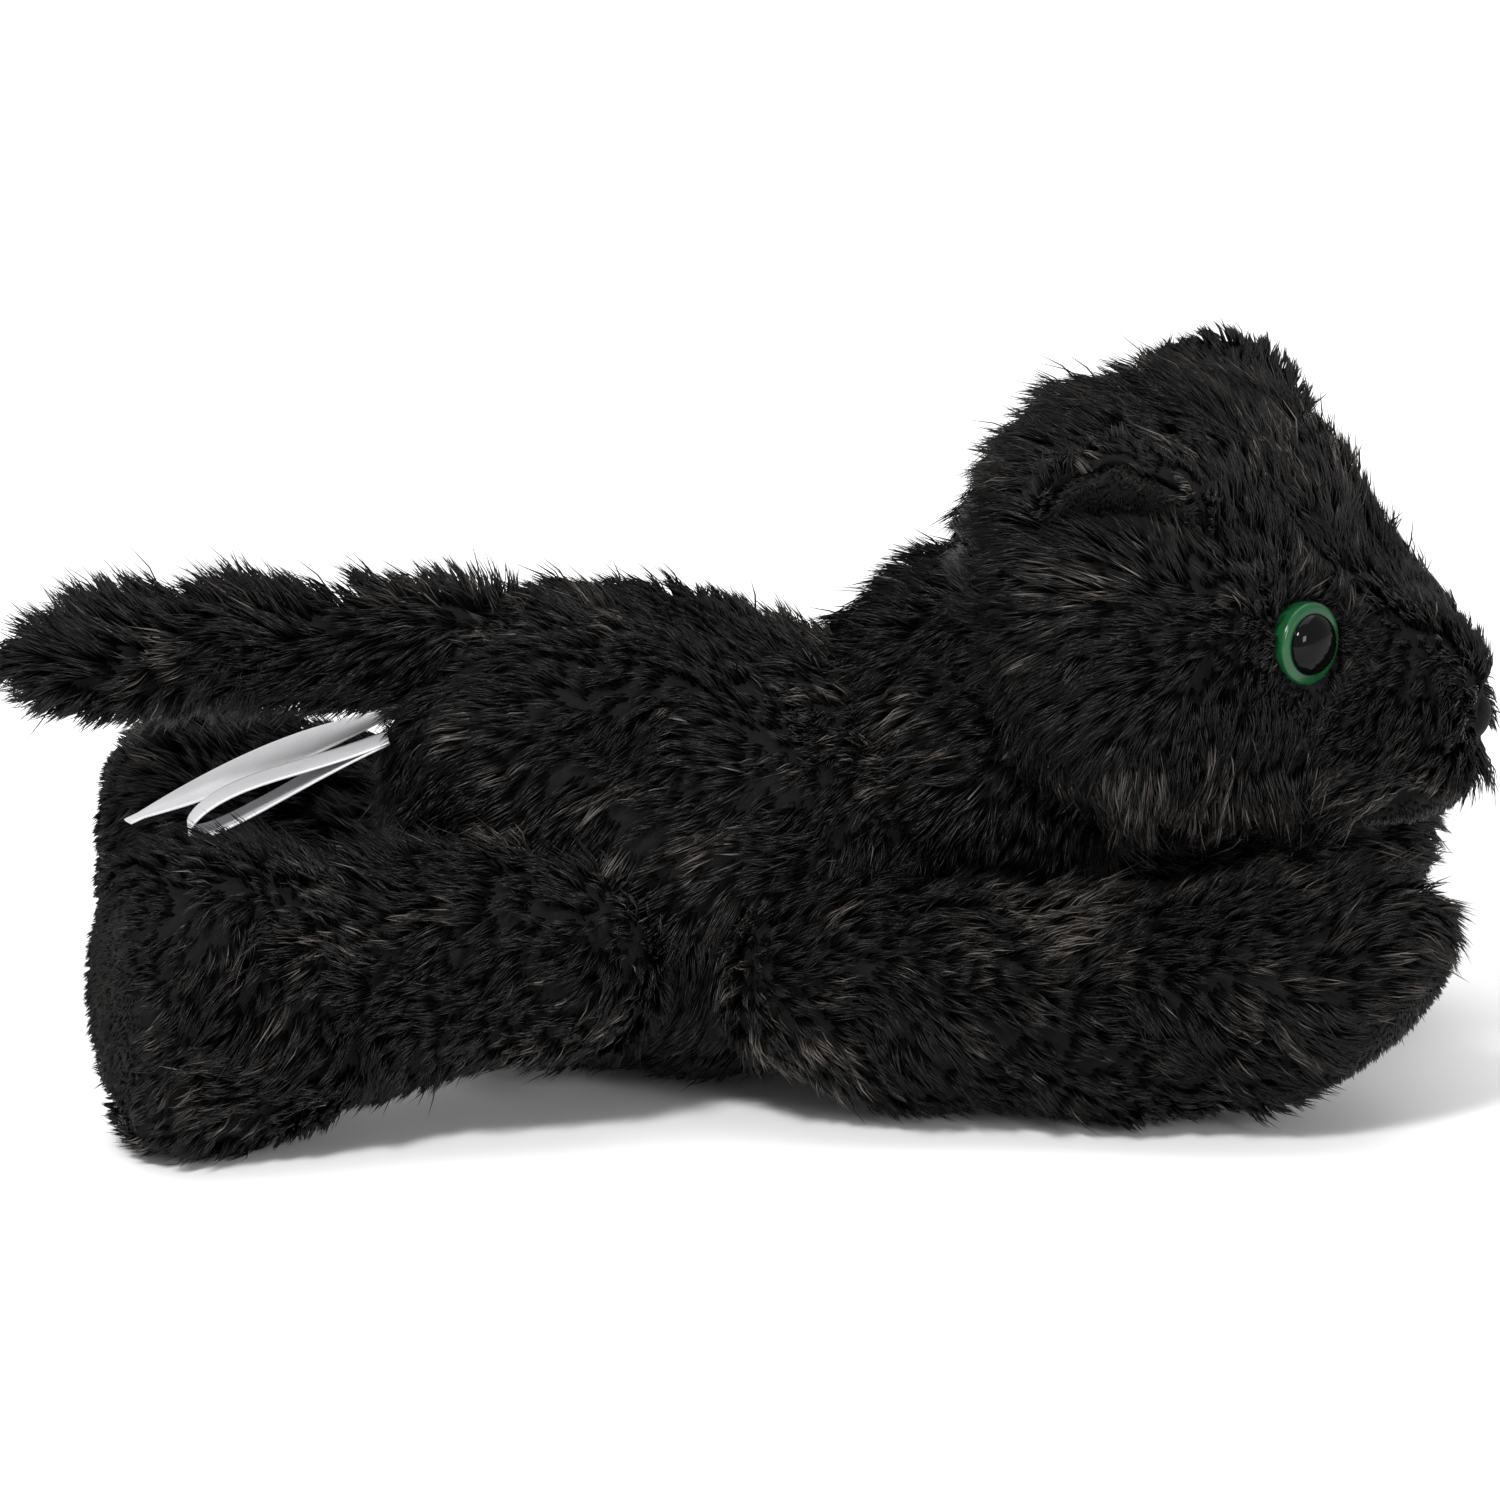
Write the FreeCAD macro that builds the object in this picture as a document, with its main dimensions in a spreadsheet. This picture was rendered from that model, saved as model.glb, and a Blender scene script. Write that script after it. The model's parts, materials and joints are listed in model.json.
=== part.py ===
"""Plush cat lying on its belly: sewn covers, fillings, eyes, nose, ears, tail and sewn-in labels.

Millimetres. +X is towards the head, +Y is the cat's left, +Z is up and Z = 0 is the floor.
"""
import FreeCAD
import Part
import os

# alias, value, meaning
DIMENSIONS = [
    ("wall", 2.5, "backing cloth and dense pile of every fur cover"),
    ("pad", 1.5, "thickness of a sole pad"),
    ("neck_hole", 11.0, "radius of the sewn opening between torso, neck and head covers"),
    ("leg_hole", 8.0, "radius of the sewn opening between torso and leg covers"),
    ("tail_hole", 4.0, "radius of the sewn opening of the tail covers"),
    ("gap", 0.6, "clearance between a ball end and its socket"),
    ("torso_back", -52.0, "rump end, length position"),
    ("torso_long", 83.0, "torso length"),
    ("torso_wide", 37.0, "torso half width"),
    ("torso_high", 36.2, "torso half height"),
    ("bag_x", -14.0, "pellet bag centre, length position"),
    ("bag_z", 12.0, "pellet bag centre, height"),
    ("bag_rx", 17.0, "pellet bag half length"),
    ("bag_ry", 9.5, "pellet bag half width"),
    ("bag_rz", 13.0, "pellet bag half height"),
    ("neck_x", 38.0, "neck pivot, length position"),
    ("neck_z", 52.0, "neck pivot, height"),
    ("neck_r", 29.4, "neck ball radius"),
    ("neck_low", 36.8, "lower edge of the neck"),
    ("neck_high", 68.0, "upper edge of the neck"),
    ("room_x", 26.0, "head room centre ahead of the neck pivot"),
    ("room_rx", 41.0, "head room half length, so the head can nod"),
    ("room_ry", 49.0, "head room half width"),
    ("room_rz", 38.5, "head room half height"),
    ("head_turn", -13.0, "head turned to the cat's right at rest, degrees"),
    ("head_back", -8.0, "back of the head from the neck pivot"),
    ("head_long", 76.5, "head length from its back to the muzzle"),
    ("head_wide", 41.8, "head half width"),
    ("head_high", 31.4, "head half height"),
    ("mouth_x", 54.0, "back edge of the short-pile mouth patch"),
    ("mouth_z", 49.5, "top edge of the short-pile mouth patch"),
    ("nose_x", 65.6, "nose centre ahead of the neck pivot"),
    ("nose_z", 55.0, "nose centre height"),
    ("nose_rx", 3.2, "nose half depth"),
    ("nose_ry", 6.2, "nose half width"),
    ("nose_rz", 4.0, "nose half height"),
    ("eye_x", 46.5, "eye ahead of the neck pivot"),
    ("eye_y", 23.0, "eye to the side of the head's middle"),
    ("eye_z", 70.5, "eye height"),
    ("eye_turn", 36.0, "eye turned outwards from straight ahead, degrees"),
    ("eye_r", 6.0, "eye radius"),
    ("eye_depth", 2.4, "thickness of the eye's coloured disc"),
    ("pupil_r", 4.3, "pupil radius"),
    ("pupil_rise", 2.2, "height of the domed pupil"),
    ("post_r", 1.6, "shank radius of eyes and nose"),
    ("post_len", 8.0, "shank length of eyes and nose"),
    ("washer_r", 6.0, "lock washer radius"),
    ("washer_t", 1.2, "lock washer thickness"),
    ("washer_back", 5.0, "lock washer distance behind the eye or nose"),
    ("ear_x", 22.0, "ear base ahead of the neck pivot"),
    ("ear_y", 31.0, "ear base to the side of the head's middle"),
    ("ear_z", 91.0, "ear base height"),
    ("ear_lean", 24.0, "ear leaning outwards, degrees"),
    ("ear_rx", 13.0, "ear half width"),
    ("ear_ry", 4.0, "ear half thickness"),
    ("ear_rz", 11.5, "ear half height"),
    ("ear_rise", 4.0, "ear form centre above its base line"),
    ("ear_hem", 3.4, "ear flap's lower edge above its base line, clear of the head when it folds"),
    ("ear_root_r", 4.0, "rolled root of the ear"),
    ("ear_root_len", 22.0, "length of the ear's root"),
    ("lining_rx", 10.5, "ear lining half width"),
    ("lining_ry", 4.6, "ear lining form depth"),
    ("lining_rz", 7.0, "ear lining half height"),
    ("fore_x", 12.0, "shoulder, length position"),
    ("fore_y", 27.0, "shoulder to the side of the middle"),
    ("fore_splay", 5.0, "foreleg turned outwards, degrees"),
    ("fore_ball_r", 17.5, "shoulder ball radius"),
    ("fore_long", 104.5, "foreleg length from its ball end to its paw tip"),
    ("fore_wide", 18.0, "foreleg half width"),
    ("fore_high", 17.5, "foreleg half height"),
    ("paw_x", 72.0, "paw sole reference ahead of the shoulder"),
    ("paw_z", 20.0, "paw sole reference height"),
    ("paw_sole", 7.3, "paw sole reference to the sole"),
    ("paw_tilt", 52.0, "paw sole turned down from straight ahead, degrees"),
    ("hip_x", -30.0, "hip, length position"),
    ("hip_y", 31.0, "hip to the side of the middle"),
    ("hip_ball_r", 18.0, "hip ball radius"),
    ("hip_ball_z", 22.0, "hip ball height"),
    ("hind_long", 91.0, "hind leg length before its sole is set in"),
    ("sole_x", 65.0, "hind sole behind the hip"),
    ("near_splay", 17.0, "right hind leg turned outwards, degrees"),
    ("near_wide", 18.0, "right hind leg half width"),
    ("near_high", 24.0, "right hind leg half height"),
    ("far_splay", 15.6, "left hind leg turned outwards, degrees"),
    ("far_wide", 18.6, "left hind leg half width"),
    ("far_high", 20.8, "left hind leg half height"),
    ("tail_x", -40.0, "tail root, length position"),
    ("tail_z", 61.5, "tail height"),
    ("tail_r", 9.2, "tail root segment radius"),
    ("tail_rim", 27.5, "end of the root segment behind the tail root"),
    ("tail_knuckle", 33.0, "bend of the tail behind the tail root"),
    ("tip_r", 8.6, "tail end segment radius"),
    ("tip_len", 23.8, "tail end segment length to its rounded end"),
    ("tip_droop", 4.0, "tail end segment drooping at rest, degrees"),
    ("label_x", -51.6, "labels leave the rump seam, length position"),
    ("label_z", 50.2, "labels leave the rump seam, height"),
    ("label_t", 0.5, "label cloth thickness"),
    ("brand_y", 8.3, "wide label middle"),
    ("brand_wide", 16.0, "wide label width"),
    ("brand_len", 41.0, "wide label length"),
    ("brand_drop", 23.0, "wide label slope at rest, degrees"),
    ("care_y", -6.3, "folded label middle"),
    ("care_wide", 12.0, "folded label width"),
    ("care_len", 32.0, "folded label length"),
    ("care_thick", 5.2, "folded label loop height"),
    ("care_drop", 27.0, "folded label slope at rest, degrees"),
]

# share of the length, share of the half width, share of the half height, centre height
TORSO_STATIONS = [
    (0.0, 0.08, 0.06, 41.0), (0.024, 0.38, 0.34, 41.0), (0.084, 0.62, 0.58, 40.0), (0.18, 0.82, 0.81, 37.5),
    (0.325, 0.97, 0.98, 36.0), (0.48, 1.0, 1.0, 35.8), (0.63, 0.98, 0.955, 35.0), (0.77, 0.91, 0.885, 33.5),
    (0.89, 0.76, 0.73, 32.0), (0.965, 0.5, 0.47, 31.5), (1.0, 0.11, 0.09, 31.5),
]
HEAD_STATIONS = [
    (0.0, 0.06, 0.06, 70.5), (0.039, 0.36, 0.38, 71.0), (0.118, 0.67, 0.69, 71.2), (0.235, 0.9, 0.9, 71.2),
    (0.366, 1.0, 1.0, 71.2), (0.497, 0.955, 0.99, 70.8), (0.627, 0.8, 0.92, 68.2), (0.719, 0.645, 0.8, 64.3),
    (0.81, 0.54, 0.66, 59.8), (0.889, 0.475, 0.54, 57.0), (0.954, 0.345, 0.37, 56.5), (1.0, 0.07, 0.07, 56.0),
]
FORELEG_STATIONS = [
    (0.0, 0.09, 0.09, 16.0), (0.01, 0.33, 0.33, 16.0), (0.038, 0.63, 0.64, 16.0), (0.087, 0.85, 0.87, 16.0),
    (0.168, 0.98, 1.0, 16.0), (0.36, 0.95, 0.97, 15.6), (0.553, 0.94, 0.96, 15.8), (0.745, 0.985, 0.98, 18.8),
    (0.84, 0.93, 0.87, 21.3), (0.915, 0.76, 0.69, 24.0), (0.971, 0.46, 0.4, 26.0), (1.0, 0.1, 0.08, 27.0),
]
NEAR_HIND_STATIONS = [
    (0.0, 0.09, 0.075, 22.0), (0.011, 0.33, 0.25, 22.0), (0.044, 0.62, 0.468, 22.0), (0.099, 0.865, 0.65, 22.0),
    (0.198, 0.995, 0.75, 22.0), (0.352, 0.92, 0.73, 21.5), (0.505, 0.905, 0.8125, 21.5), (0.637, 0.945, 0.96, 22.8),
    (0.747, 0.955, 1.0, 23.0), (0.857, 0.93, 0.96, 23.0), (0.945, 0.78, 0.81, 23.0), (1.0, 0.2, 0.2, 23.0),
]
FAR_HIND_STATIONS = [
    (0.0, 0.08, 0.08, 21.0), (0.011, 0.32, 0.288, 21.0), (0.044, 0.6, 0.54, 21.0), (0.099, 0.83, 0.745, 21.0),
    (0.198, 0.96, 0.865, 21.0), (0.352, 0.9, 0.84, 20.5), (0.505, 0.9, 0.91, 20.0), (0.637, 0.97, 0.98, 20.0),
    (0.747, 1.0, 1.0, 20.0), (0.857, 0.97, 0.96, 20.0), (0.945, 0.8, 0.81, 20.0), (1.0, 0.2, 0.2, 20.0),
]

AXIS_X = "create(<<vector>>; 1; 0; 0)"
AXIS_Y = "create(<<vector>>; 0; 1; 0)"
AXIS_Z = "create(<<vector>>; 0; 0; 1)"
BIG = "120"

doc = FreeCAD.newDocument("plush_cat")


def make_sheet():
    sheet = doc.addObject("Spreadsheet::Sheet", "dims")
    for row, (alias, value, meaning) in enumerate(DIMENSIONS, start=1):
        sheet.set("A%d" % row, meaning)
        sheet.set("B%d" % row, str(value))
        sheet.setAlias("B%d" % row, alias)
    doc.recompute()


def vector(x, y, z):
    return "create(<<vector>>; %s; %s; %s)" % (x, y, z)


def place(x="0", y="0", z="0", axis=AXIS_Z, angle="0"):
    return "create(<<placement>>; %s; create(<<rotation>>; %s; %s))" % (vector(x, y, z), axis, angle)


def primitive(kind, name, sizes, frame, local):
    item = doc.addObject(kind, name)
    for prop, expression in sizes.items():
        item.setExpression(prop, expression)
    item.setExpression("Placement", "%s * %s" % (frame, local))
    return item


def ellipsoid(name, frame, centre, radii):
    sizes = {"Radius1": radii[2], "Radius2": radii[0], "Radius3": radii[1]}
    return primitive("Part::Ellipsoid", name, sizes, frame, place(*centre))


def ball(name, frame, centre, radius):
    return primitive("Part::Sphere", name, {"Radius": radius}, frame, place(*centre))


def block(name, frame, low, size, local=None):
    sizes = {"Length": size[0], "Width": size[1], "Height": size[2]}
    corner = place(*low)
    where = corner if local is None else "%s * %s" % (local, corner)
    return primitive("Part::Box", name, sizes, frame, where)


def rod(name, frame, centre, radius, length, axis=AXIS_Z, angle="0"):
    sizes = {"Radius": radius, "Height": length}
    return primitive("Part::Cylinder", name, sizes, frame, place(*centre, axis, angle))


def loft(name, frame, form, stations, inset, tall=False):
    """A padded form through ellipses standing across X; tall forms have their long axis upright."""
    back, length, wide, high = form
    upright = place(axis=AXIS_Y, angle="-90") if tall else LEVEL
    rings = []
    for number, (share, width, height, centre) in enumerate(stations, start=1):
        across = "(%s - %s) * %s" % (wide, inset, width)
        up = "(%s - %s) * %s" % (high, inset, height)
        sizes = {"MajorRadius": up if tall else across, "MinorRadius": across if tall else up}
        spot = place("%s + %s + %s * (%s - 2 * %s)" % (back, inset, share, length, inset), "0", str(centre))
        rings.append(primitive("Part::Ellipse", "%s_ring_%d" % (name, number), sizes, frame, spot + " * " + upright))
    item = doc.addObject("Part::Loft", name)
    item.Sections = rings
    item.Solid = True
    return item


def fuse(name, *pieces):
    item = doc.addObject("Part::MultiFuse", name)
    item.Shapes = list(pieces)
    return item


def common(name, first, second):
    item = doc.addObject("Part::Common", name)
    item.Base = first
    item.Tool = second
    return item


def cut(name, base, *tools):
    """The base with each tool cut away in turn."""
    result = base
    for number, tool in enumerate(tools, start=1):
        last = number == len(tools)
        item = doc.addObject("Part::Cut", name if last else "%s_cut_%d" % (name, number))
        item.Base = result
        item.Tool = tool
        result = item
    return result


def sewn_hole(name, frame, centre, radius, length):
    """An opening where one cover is sewn to the next, along X from its centre."""
    return rod(name, frame, centre, radius, length, AXIS_Y, "90")


def node(item, label):
    item.Label = label
    NODES.append(item)
    return item


def less(size, inset):
    return "dims.%s - %s" % (size, inset)


def more(size, inset):
    return "dims.%s + %s" % (size, inset)


def torso_form(tag, inset):
    form = ("dims.torso_back", "dims.torso_long", "dims.torso_wide", "dims.torso_high")
    body = loft(tag + "_body", place(), form, TORSO_STATIONS, inset)
    above = block(tag + "_above", place(), ("-60", "-60", inset), (BIG, BIG, BIG))
    whole = common(tag + "_whole", body, above)
    neck = ball(
        tag + "_neck_room", place(), ("dims.neck_x", "0", "dims.neck_z"),
        "dims.neck_r + dims.gap + %s" % inset,
    )
    rooms = [neck, *tail_room(tag, inset)]
    right = leg_rooms(tag + "_r", "-1", inset)
    left = leg_rooms(tag + "_l", "1", inset)
    for pair in zip(right, left):
        rooms += pair
    return cut(tag + "_form", whole, *rooms)


def tail_room(tag, inset):
    socket = ball(
        tag + "_tail_socket", place(), ("dims.tail_x", "0", "dims.tail_z"),
        "dims.tail_r + dims.gap + %s" % inset,
    )
    behind = block(
        tag + "_tail_behind", place(),
        ("dims.tail_x - 60 + %s" % inset, "-13.5 - %s" % inset, "dims.tail_z - 10.3 - %s" % inset),
        ("60", "27 + 2 * %s" % inset, "60"),
    )
    return [socket, behind]


def leg_rooms(tag, sign, inset):
    shoulder = rod(
        tag + "_shoulder_room", place(), ("dims.fore_x", sign + " * dims.fore_y", "-1"),
        "dims.fore_ball_r + 1 + %s" % inset, "38.5 + %s" % inset,
    )
    front = block(
        tag + "_front_room", place(),
        ("14 - %s" % inset, "%s * (39 - %s) - 30" % (sign, inset), "-1"),
        ("60", "60", "38.5 + %s" % inset),
    )
    rear = block(
        tag + "_rear_room", place(),
        ("dims.hip_x - 61 + %s" % inset, "%s * (41.5 - %s) - 30" % (sign, inset), "-2"),
        ("80", "60", "dims.hip_ball_z + dims.hip_ball_r + 3 + %s" % inset),
    )
    return [shoulder, front, rear]


def make_torso():
    inner = torso_form("torso_inner", "dims.wall")
    hole = sewn_hole("torso_hole", place(), ("2", "0", "dims.neck_z"), "dims.neck_hole", "20")
    node(cut("torso_cover", torso_form("torso_outer", "0"), inner, hole), "torso_cover")
    lump = ellipsoid(
        "pellets", place(), ("dims.bag_x", "0", "dims.bag_z"),
        ("dims.bag_rx", "dims.bag_ry", "dims.bag_rz"),
    )
    bag = common("pellet_bag", lump, inner)
    node(cut("torso_stuffing", inner, bag), "torso_stuffing")
    node(bag, "pellet_bag")


def neck_form(tag, inset):
    round_part = ball(tag + "_ball", HEAD, ("0", "0", "dims.neck_z"), less("neck_r", inset))
    band = block(
        tag + "_band", HEAD, ("-60 - %s" % inset, "-60", more("neck_low", inset)),
        ("60", BIG, "dims.neck_high - dims.neck_low - 2 * %s" % inset),
    )
    room = ellipsoid(
        tag + "_head_room", HEAD, ("dims.room_x", "0", "71"),
        tuple(more(size, inset) for size in ("room_rx", "room_ry", "room_rz")),
    )
    return cut(tag + "_form", common(tag + "_slice", round_part, band), room)


def make_neck():
    inner = neck_form("neck_inner", "dims.wall")
    hole = sewn_hole("neck_hole", HEAD, ("-32", "0", "dims.neck_z"), "dims.neck_hole", "12")
    node(cut("neck_cover", neck_form("neck_outer", "0"), inner, hole), "neck_cover")
    node(inner, "neck_stuffing")


def head_form(tag, inset):
    form = ("dims.head_back", "dims.head_long", "dims.head_wide", "dims.head_high")
    return loft(tag + "_form", HEAD, form, HEAD_STATIONS, inset)


def stud_tools(tag, frame):
    """Room in the head for a shank and its washer."""
    shank = rod(tag + "_shank_room", frame, ("0", "0", "-dims.post_len"), "dims.post_r", "dims.post_len + 6")
    disc = rod(tag + "_disc_room", frame, ("0", "0", "-dims.washer_back - dims.washer_t"),
               "dims.washer_r", "dims.washer_t")
    return shank, disc


def eye_seat(side, sign):
    start = ("0", "0", "-dims.eye_depth / 2")
    return rod("eye_seat_room_" + side, eye_frame(sign), start, "dims.eye_r", "12")


def make_washer(name, frame):
    disc = rod(name + "_disc", frame, ("0", "0", "-dims.washer_back - dims.washer_t"),
               "dims.washer_r", "dims.washer_t")
    hole = rod(name + "_hole", frame, ("0", "0", "-dims.post_len"), "dims.post_r", "dims.post_len")
    node(cut(name, disc, hole), name)


def make_eye(side, sign):
    frame = eye_frame(sign)
    disc = rod("eye_disc_" + side, frame, ("0", "0", "-dims.eye_depth / 2"), "dims.eye_r", "dims.eye_depth")
    shank = rod("eye_shank_" + side, frame, ("0", "0", "-dims.post_len"), "dims.post_r",
                "dims.post_len - dims.eye_depth / 2")
    node(fuse("eye_iris_" + side, disc, shank), "eye_iris_" + side)
    dome = ellipsoid("eye_dome_" + side, frame, ("0", "0", "dims.eye_depth / 2"),
                     ("dims.pupil_r", "dims.pupil_r", "dims.pupil_rise"))
    front = block("eye_front_" + side, frame, ("-20", "-20", "dims.eye_depth / 2"), ("40", "40", "40"))
    node(common("eye_pupil_" + side, dome, front), "eye_pupil_" + side)
    make_washer("eye_washer_" + side, frame)


def make_nose():
    frame = NOSE
    button = ellipsoid("nose_button", frame, ("0", "0", "0"), ("dims.nose_rz", "dims.nose_ry", "dims.nose_rx"))
    shank = rod("nose_shank", frame, ("0", "0", "-dims.post_len"), "dims.post_r", "dims.post_len")
    node(fuse("nose", button, shank), "nose")
    make_washer("nose_washer", frame)


def make_head():
    outer = head_form("head_outer", "0")
    inner = head_form("head_inner", "dims.wall")
    studs = [stud_tools("eye_" + s, eye_frame(sign)) for s, sign in SIDES] + [stud_tools("nose", NOSE)]
    shanks, discs = zip(*studs)
    button = ellipsoid("nose_room", NOSE, ("0", "0", "0"), ("dims.nose_rz", "dims.nose_ry", "dims.nose_rx"))
    roots = [ear_root("ear_room_" + s, sign, "dims.ear_root_r + dims.gap", "dims.ear_root_len + 2")
             for s, sign in SIDES]
    seats = [eye_seat(s, sign) for s, sign in SIDES] + [button]
    pad_r = "dims.ear_root_r + dims.gap + dims.wall"
    ear_pads = [ear_root("ear_pad_" + s, sign, pad_r, "dims.ear_root_len + 6") for s, sign in SIDES]
    filling = cut("head_hollow", inner, *ear_pads)
    hole = sewn_hole("head_hole", HEAD, ("-14", "0", "62"), "dims.neck_hole - 2", "20")
    shell = cut("head_shell", outer, filling, hole, *shanks, *seats, *discs, *roots)
    corner = block("mouth_corner", HEAD, ("dims.mouth_x", "-60", "dims.mouth_z - 60"), ("60", BIG, "60"))
    node(cut("head_cover", shell, corner), "head_cover")
    node(common("mouth_patch", shell, corner), "mouth_patch")
    node(cut("head_stuffing", filling, *shanks, *seats, *discs), "head_stuffing")


def ear_root(name, sign, radius, length):
    return rod(name, ear_frame(sign), ("-(%s) / 2" % length, "0", "0"), radius, length, AXIS_Y, "90")


def make_ear(side, sign):
    frame = ear_frame(sign)
    leaf = ellipsoid("ear_leaf_" + side, frame, ("0", "0", "dims.ear_rise"),
                     ("dims.ear_rx", "dims.ear_ry", "dims.ear_rz"))
    above = block("ear_above_" + side, frame, ("-30", "-30", "dims.ear_hem"), ("60", "60", "60"))
    scoop = ellipsoid(
        "ear_scoop_" + side, frame,
        ("0", "%s * (dims.ear_ry + 1.6)" % sign, "dims.ear_rise + 2.6"),
        ("dims.lining_rx", "dims.lining_ry", "dims.lining_rz"),
    )
    root = ear_root("ear_roll_" + side, sign, "dims.ear_root_r", "dims.ear_root_len")
    whole = fuse("ear_whole_" + side, common("ear_flap_" + side, leaf, above), root)
    node(cut("ear_outer_" + side, whole, scoop), "ear_outer_" + side)
    node(common("ear_lining_" + side, whole, scoop), "ear_lining_" + side)


def leg_form(tag, frame, form, stations, sole, inset, tall):
    body = loft(tag + "_body", frame, form, stations, inset, tall)
    above = block(tag + "_above", frame, ("-100", "-60", inset), ("220", BIG, BIG))
    beyond = block(tag + "_beyond", frame, ("%s - %s" % (sole[1], inset), "-60", "-60"), (BIG, BIG, BIG), sole[0])
    return cut(tag + "_form", common(tag + "_whole", body, above), beyond)


def make_leg(name, frame, form, stations, sole, tall=False):
    """A leg runs along its frame's X from its ball end at the origin to its sole pad."""
    outer = leg_form(name + "_outer", frame, form, stations, sole, "0", tall)
    inner = leg_form(name + "_inner", frame, form, stations, sole, "dims.wall", tall)
    slab = block(name + "_slab", frame, ("%s - dims.pad" % sole[1], "-60", "-60"), ("60", BIG, BIG), sole[0])
    hole = sewn_hole(name + "_hole", frame, ("-24", "0", "18"), "dims.leg_hole", "14")
    shell = cut(name + "_shell", outer, inner, hole)
    node(cut(name + "_cover", shell, slab), name + "_cover")
    node(common(name + "_sole", outer, slab), name + "_sole")
    node(inner, name + "_filling")


def make_foreleg(side, sign):
    frame = place("dims.fore_x", sign + " * dims.fore_y", "0", AXIS_Z, sign + " * dims.fore_splay")
    form = ("-dims.fore_ball_r", "dims.fore_long", "dims.fore_wide", "dims.fore_high")
    sole = (place("dims.paw_x", "0", "dims.paw_z", AXIS_Y, "dims.paw_tilt"), "dims.paw_sole")
    make_leg("foreleg_" + side, frame, form, FORELEG_STATIONS, sole)


def make_hindleg(side, sign, kind, stations):
    frame = place("dims.hip_x", sign + " * dims.hip_y", "0", AXIS_Z, "180 - %s * dims.%s_splay" % (sign, kind))
    form = ("-dims.hip_ball_r", "dims.hind_long", "dims.%s_wide" % kind, "dims.%s_high" % kind)
    make_leg("hindleg_" + side, frame, form, stations, (place(), "dims.sole_x"), tall=True)


def tail_root_form(tag, inset):
    start = ball(tag + "_start", place(), ("dims.tail_x", "0", "dims.tail_z"), less("tail_r", inset))
    tube = rod(tag + "_tube", place(), ("dims.tail_x", "0", "dims.tail_z"), less("tail_r", inset),
               less("tail_rim", inset), AXIS_Y, "-90")
    dish = ball(tag + "_dish", place(), ("dims.tail_x - dims.tail_knuckle", "0", "dims.tail_z"),
                "dims.tip_r + dims.gap + %s" % inset)
    return cut(tag + "_form", fuse(tag + "_body", start, tube), dish)


def tail_tip_form(tag, inset):
    start = ball(tag + "_start", TIP, ("0", "0", "0"), less("tip_r", inset))
    tube = rod(tag + "_tube", TIP, ("0", "0", "0"), less("tip_r", inset), "dims.tip_len", AXIS_Y, "-90")
    end = ball(tag + "_end", TIP, ("-dims.tip_len", "0", "0"), less("tip_r", inset))
    return fuse(tag + "_form", start, tube, end)


def make_tail():
    root_hole = sewn_hole("tail_root_hole", place(), ("dims.tail_x + 4", "0", "dims.tail_z"), "dims.tail_hole", "8")
    tip_hole = sewn_hole("tail_tip_hole", TIP, ("4", "0", "0"), "dims.tail_hole", "8")
    for name, form, hole in (("tail_root", tail_root_form, root_hole), ("tail_tip", tail_tip_form, tip_hole)):
        inner = form(name + "_inner", "dims.wall")
        node(cut(name + "_cover", form(name + "_outer", "0"), inner, hole), name + "_cover")
        node(inner, name + "_stuffing")


def make_labels():
    brand = place("dims.label_x", "dims.brand_y", "dims.label_z", AXIS_Y, "-dims.brand_drop")
    flat = block("brand_label", brand, ("-dims.brand_len", "-dims.brand_wide / 2", "-dims.label_t / 2"),
                 ("dims.brand_len", "dims.brand_wide", "dims.label_t"))
    node(flat, "brand_label")
    care = place("dims.label_x", "dims.care_y", "dims.label_z", AXIS_Y, "-dims.care_drop")
    outer = care_loop("care_outer", care, "0")
    inner = care_loop("care_inner", care, "dims.label_t")
    node(cut("care_label", outer, inner), "care_label")


def care_loop(tag, frame, inset):
    sizes = {"MajorRadius": "dims.care_len / 2 - %s" % inset, "MinorRadius": "dims.care_thick / 2 - %s" % inset}
    where = place("-dims.care_len / 2", "-dims.care_wide / 2 - %s" % inset, "0", AXIS_X, "90")
    ring = primitive("Part::Ellipse", tag + "_ring", sizes, frame, where)
    item = doc.addObject("Part::Extrusion", tag + "_form")
    item.Base = ring
    item.DirMode = "Normal"
    item.Solid = True
    item.setExpression("LengthFwd", "dims.care_wide + 2 * %s" % inset)
    return item


def eye_frame(sign):
    spot = place("dims.eye_x", sign + " * dims.eye_y", "dims.eye_z", AXIS_Z, sign + " * dims.eye_turn")
    return "%s * %s * %s" % (HEAD, spot, place(axis=AXIS_Y, angle="90"))


def ear_frame(sign):
    spot = place("dims.ear_x", sign + " * dims.ear_y", "dims.ear_z", AXIS_X, "-%s * dims.ear_lean" % sign)
    return "%s * %s" % (HEAD, spot)


def check_and_write():
    os.makedirs("parts", exist_ok=True)
    for item in doc.Objects:
        if "Invalid" in item.State or "Error" in item.State:
            raise RuntimeError("%s did not build: %s" % (item.Name, item.State))
    for item in NODES:
        if item.Shape.isNull() or not item.Shape.isValid():
            raise RuntimeError("%s has no valid shape" % item.Label)
        if item.Shape.Volume <= 0:
            raise RuntimeError("%s has no volume" % item.Label)
        item.Shape.exportStep("parts/%s.step" % item.Label)


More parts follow.
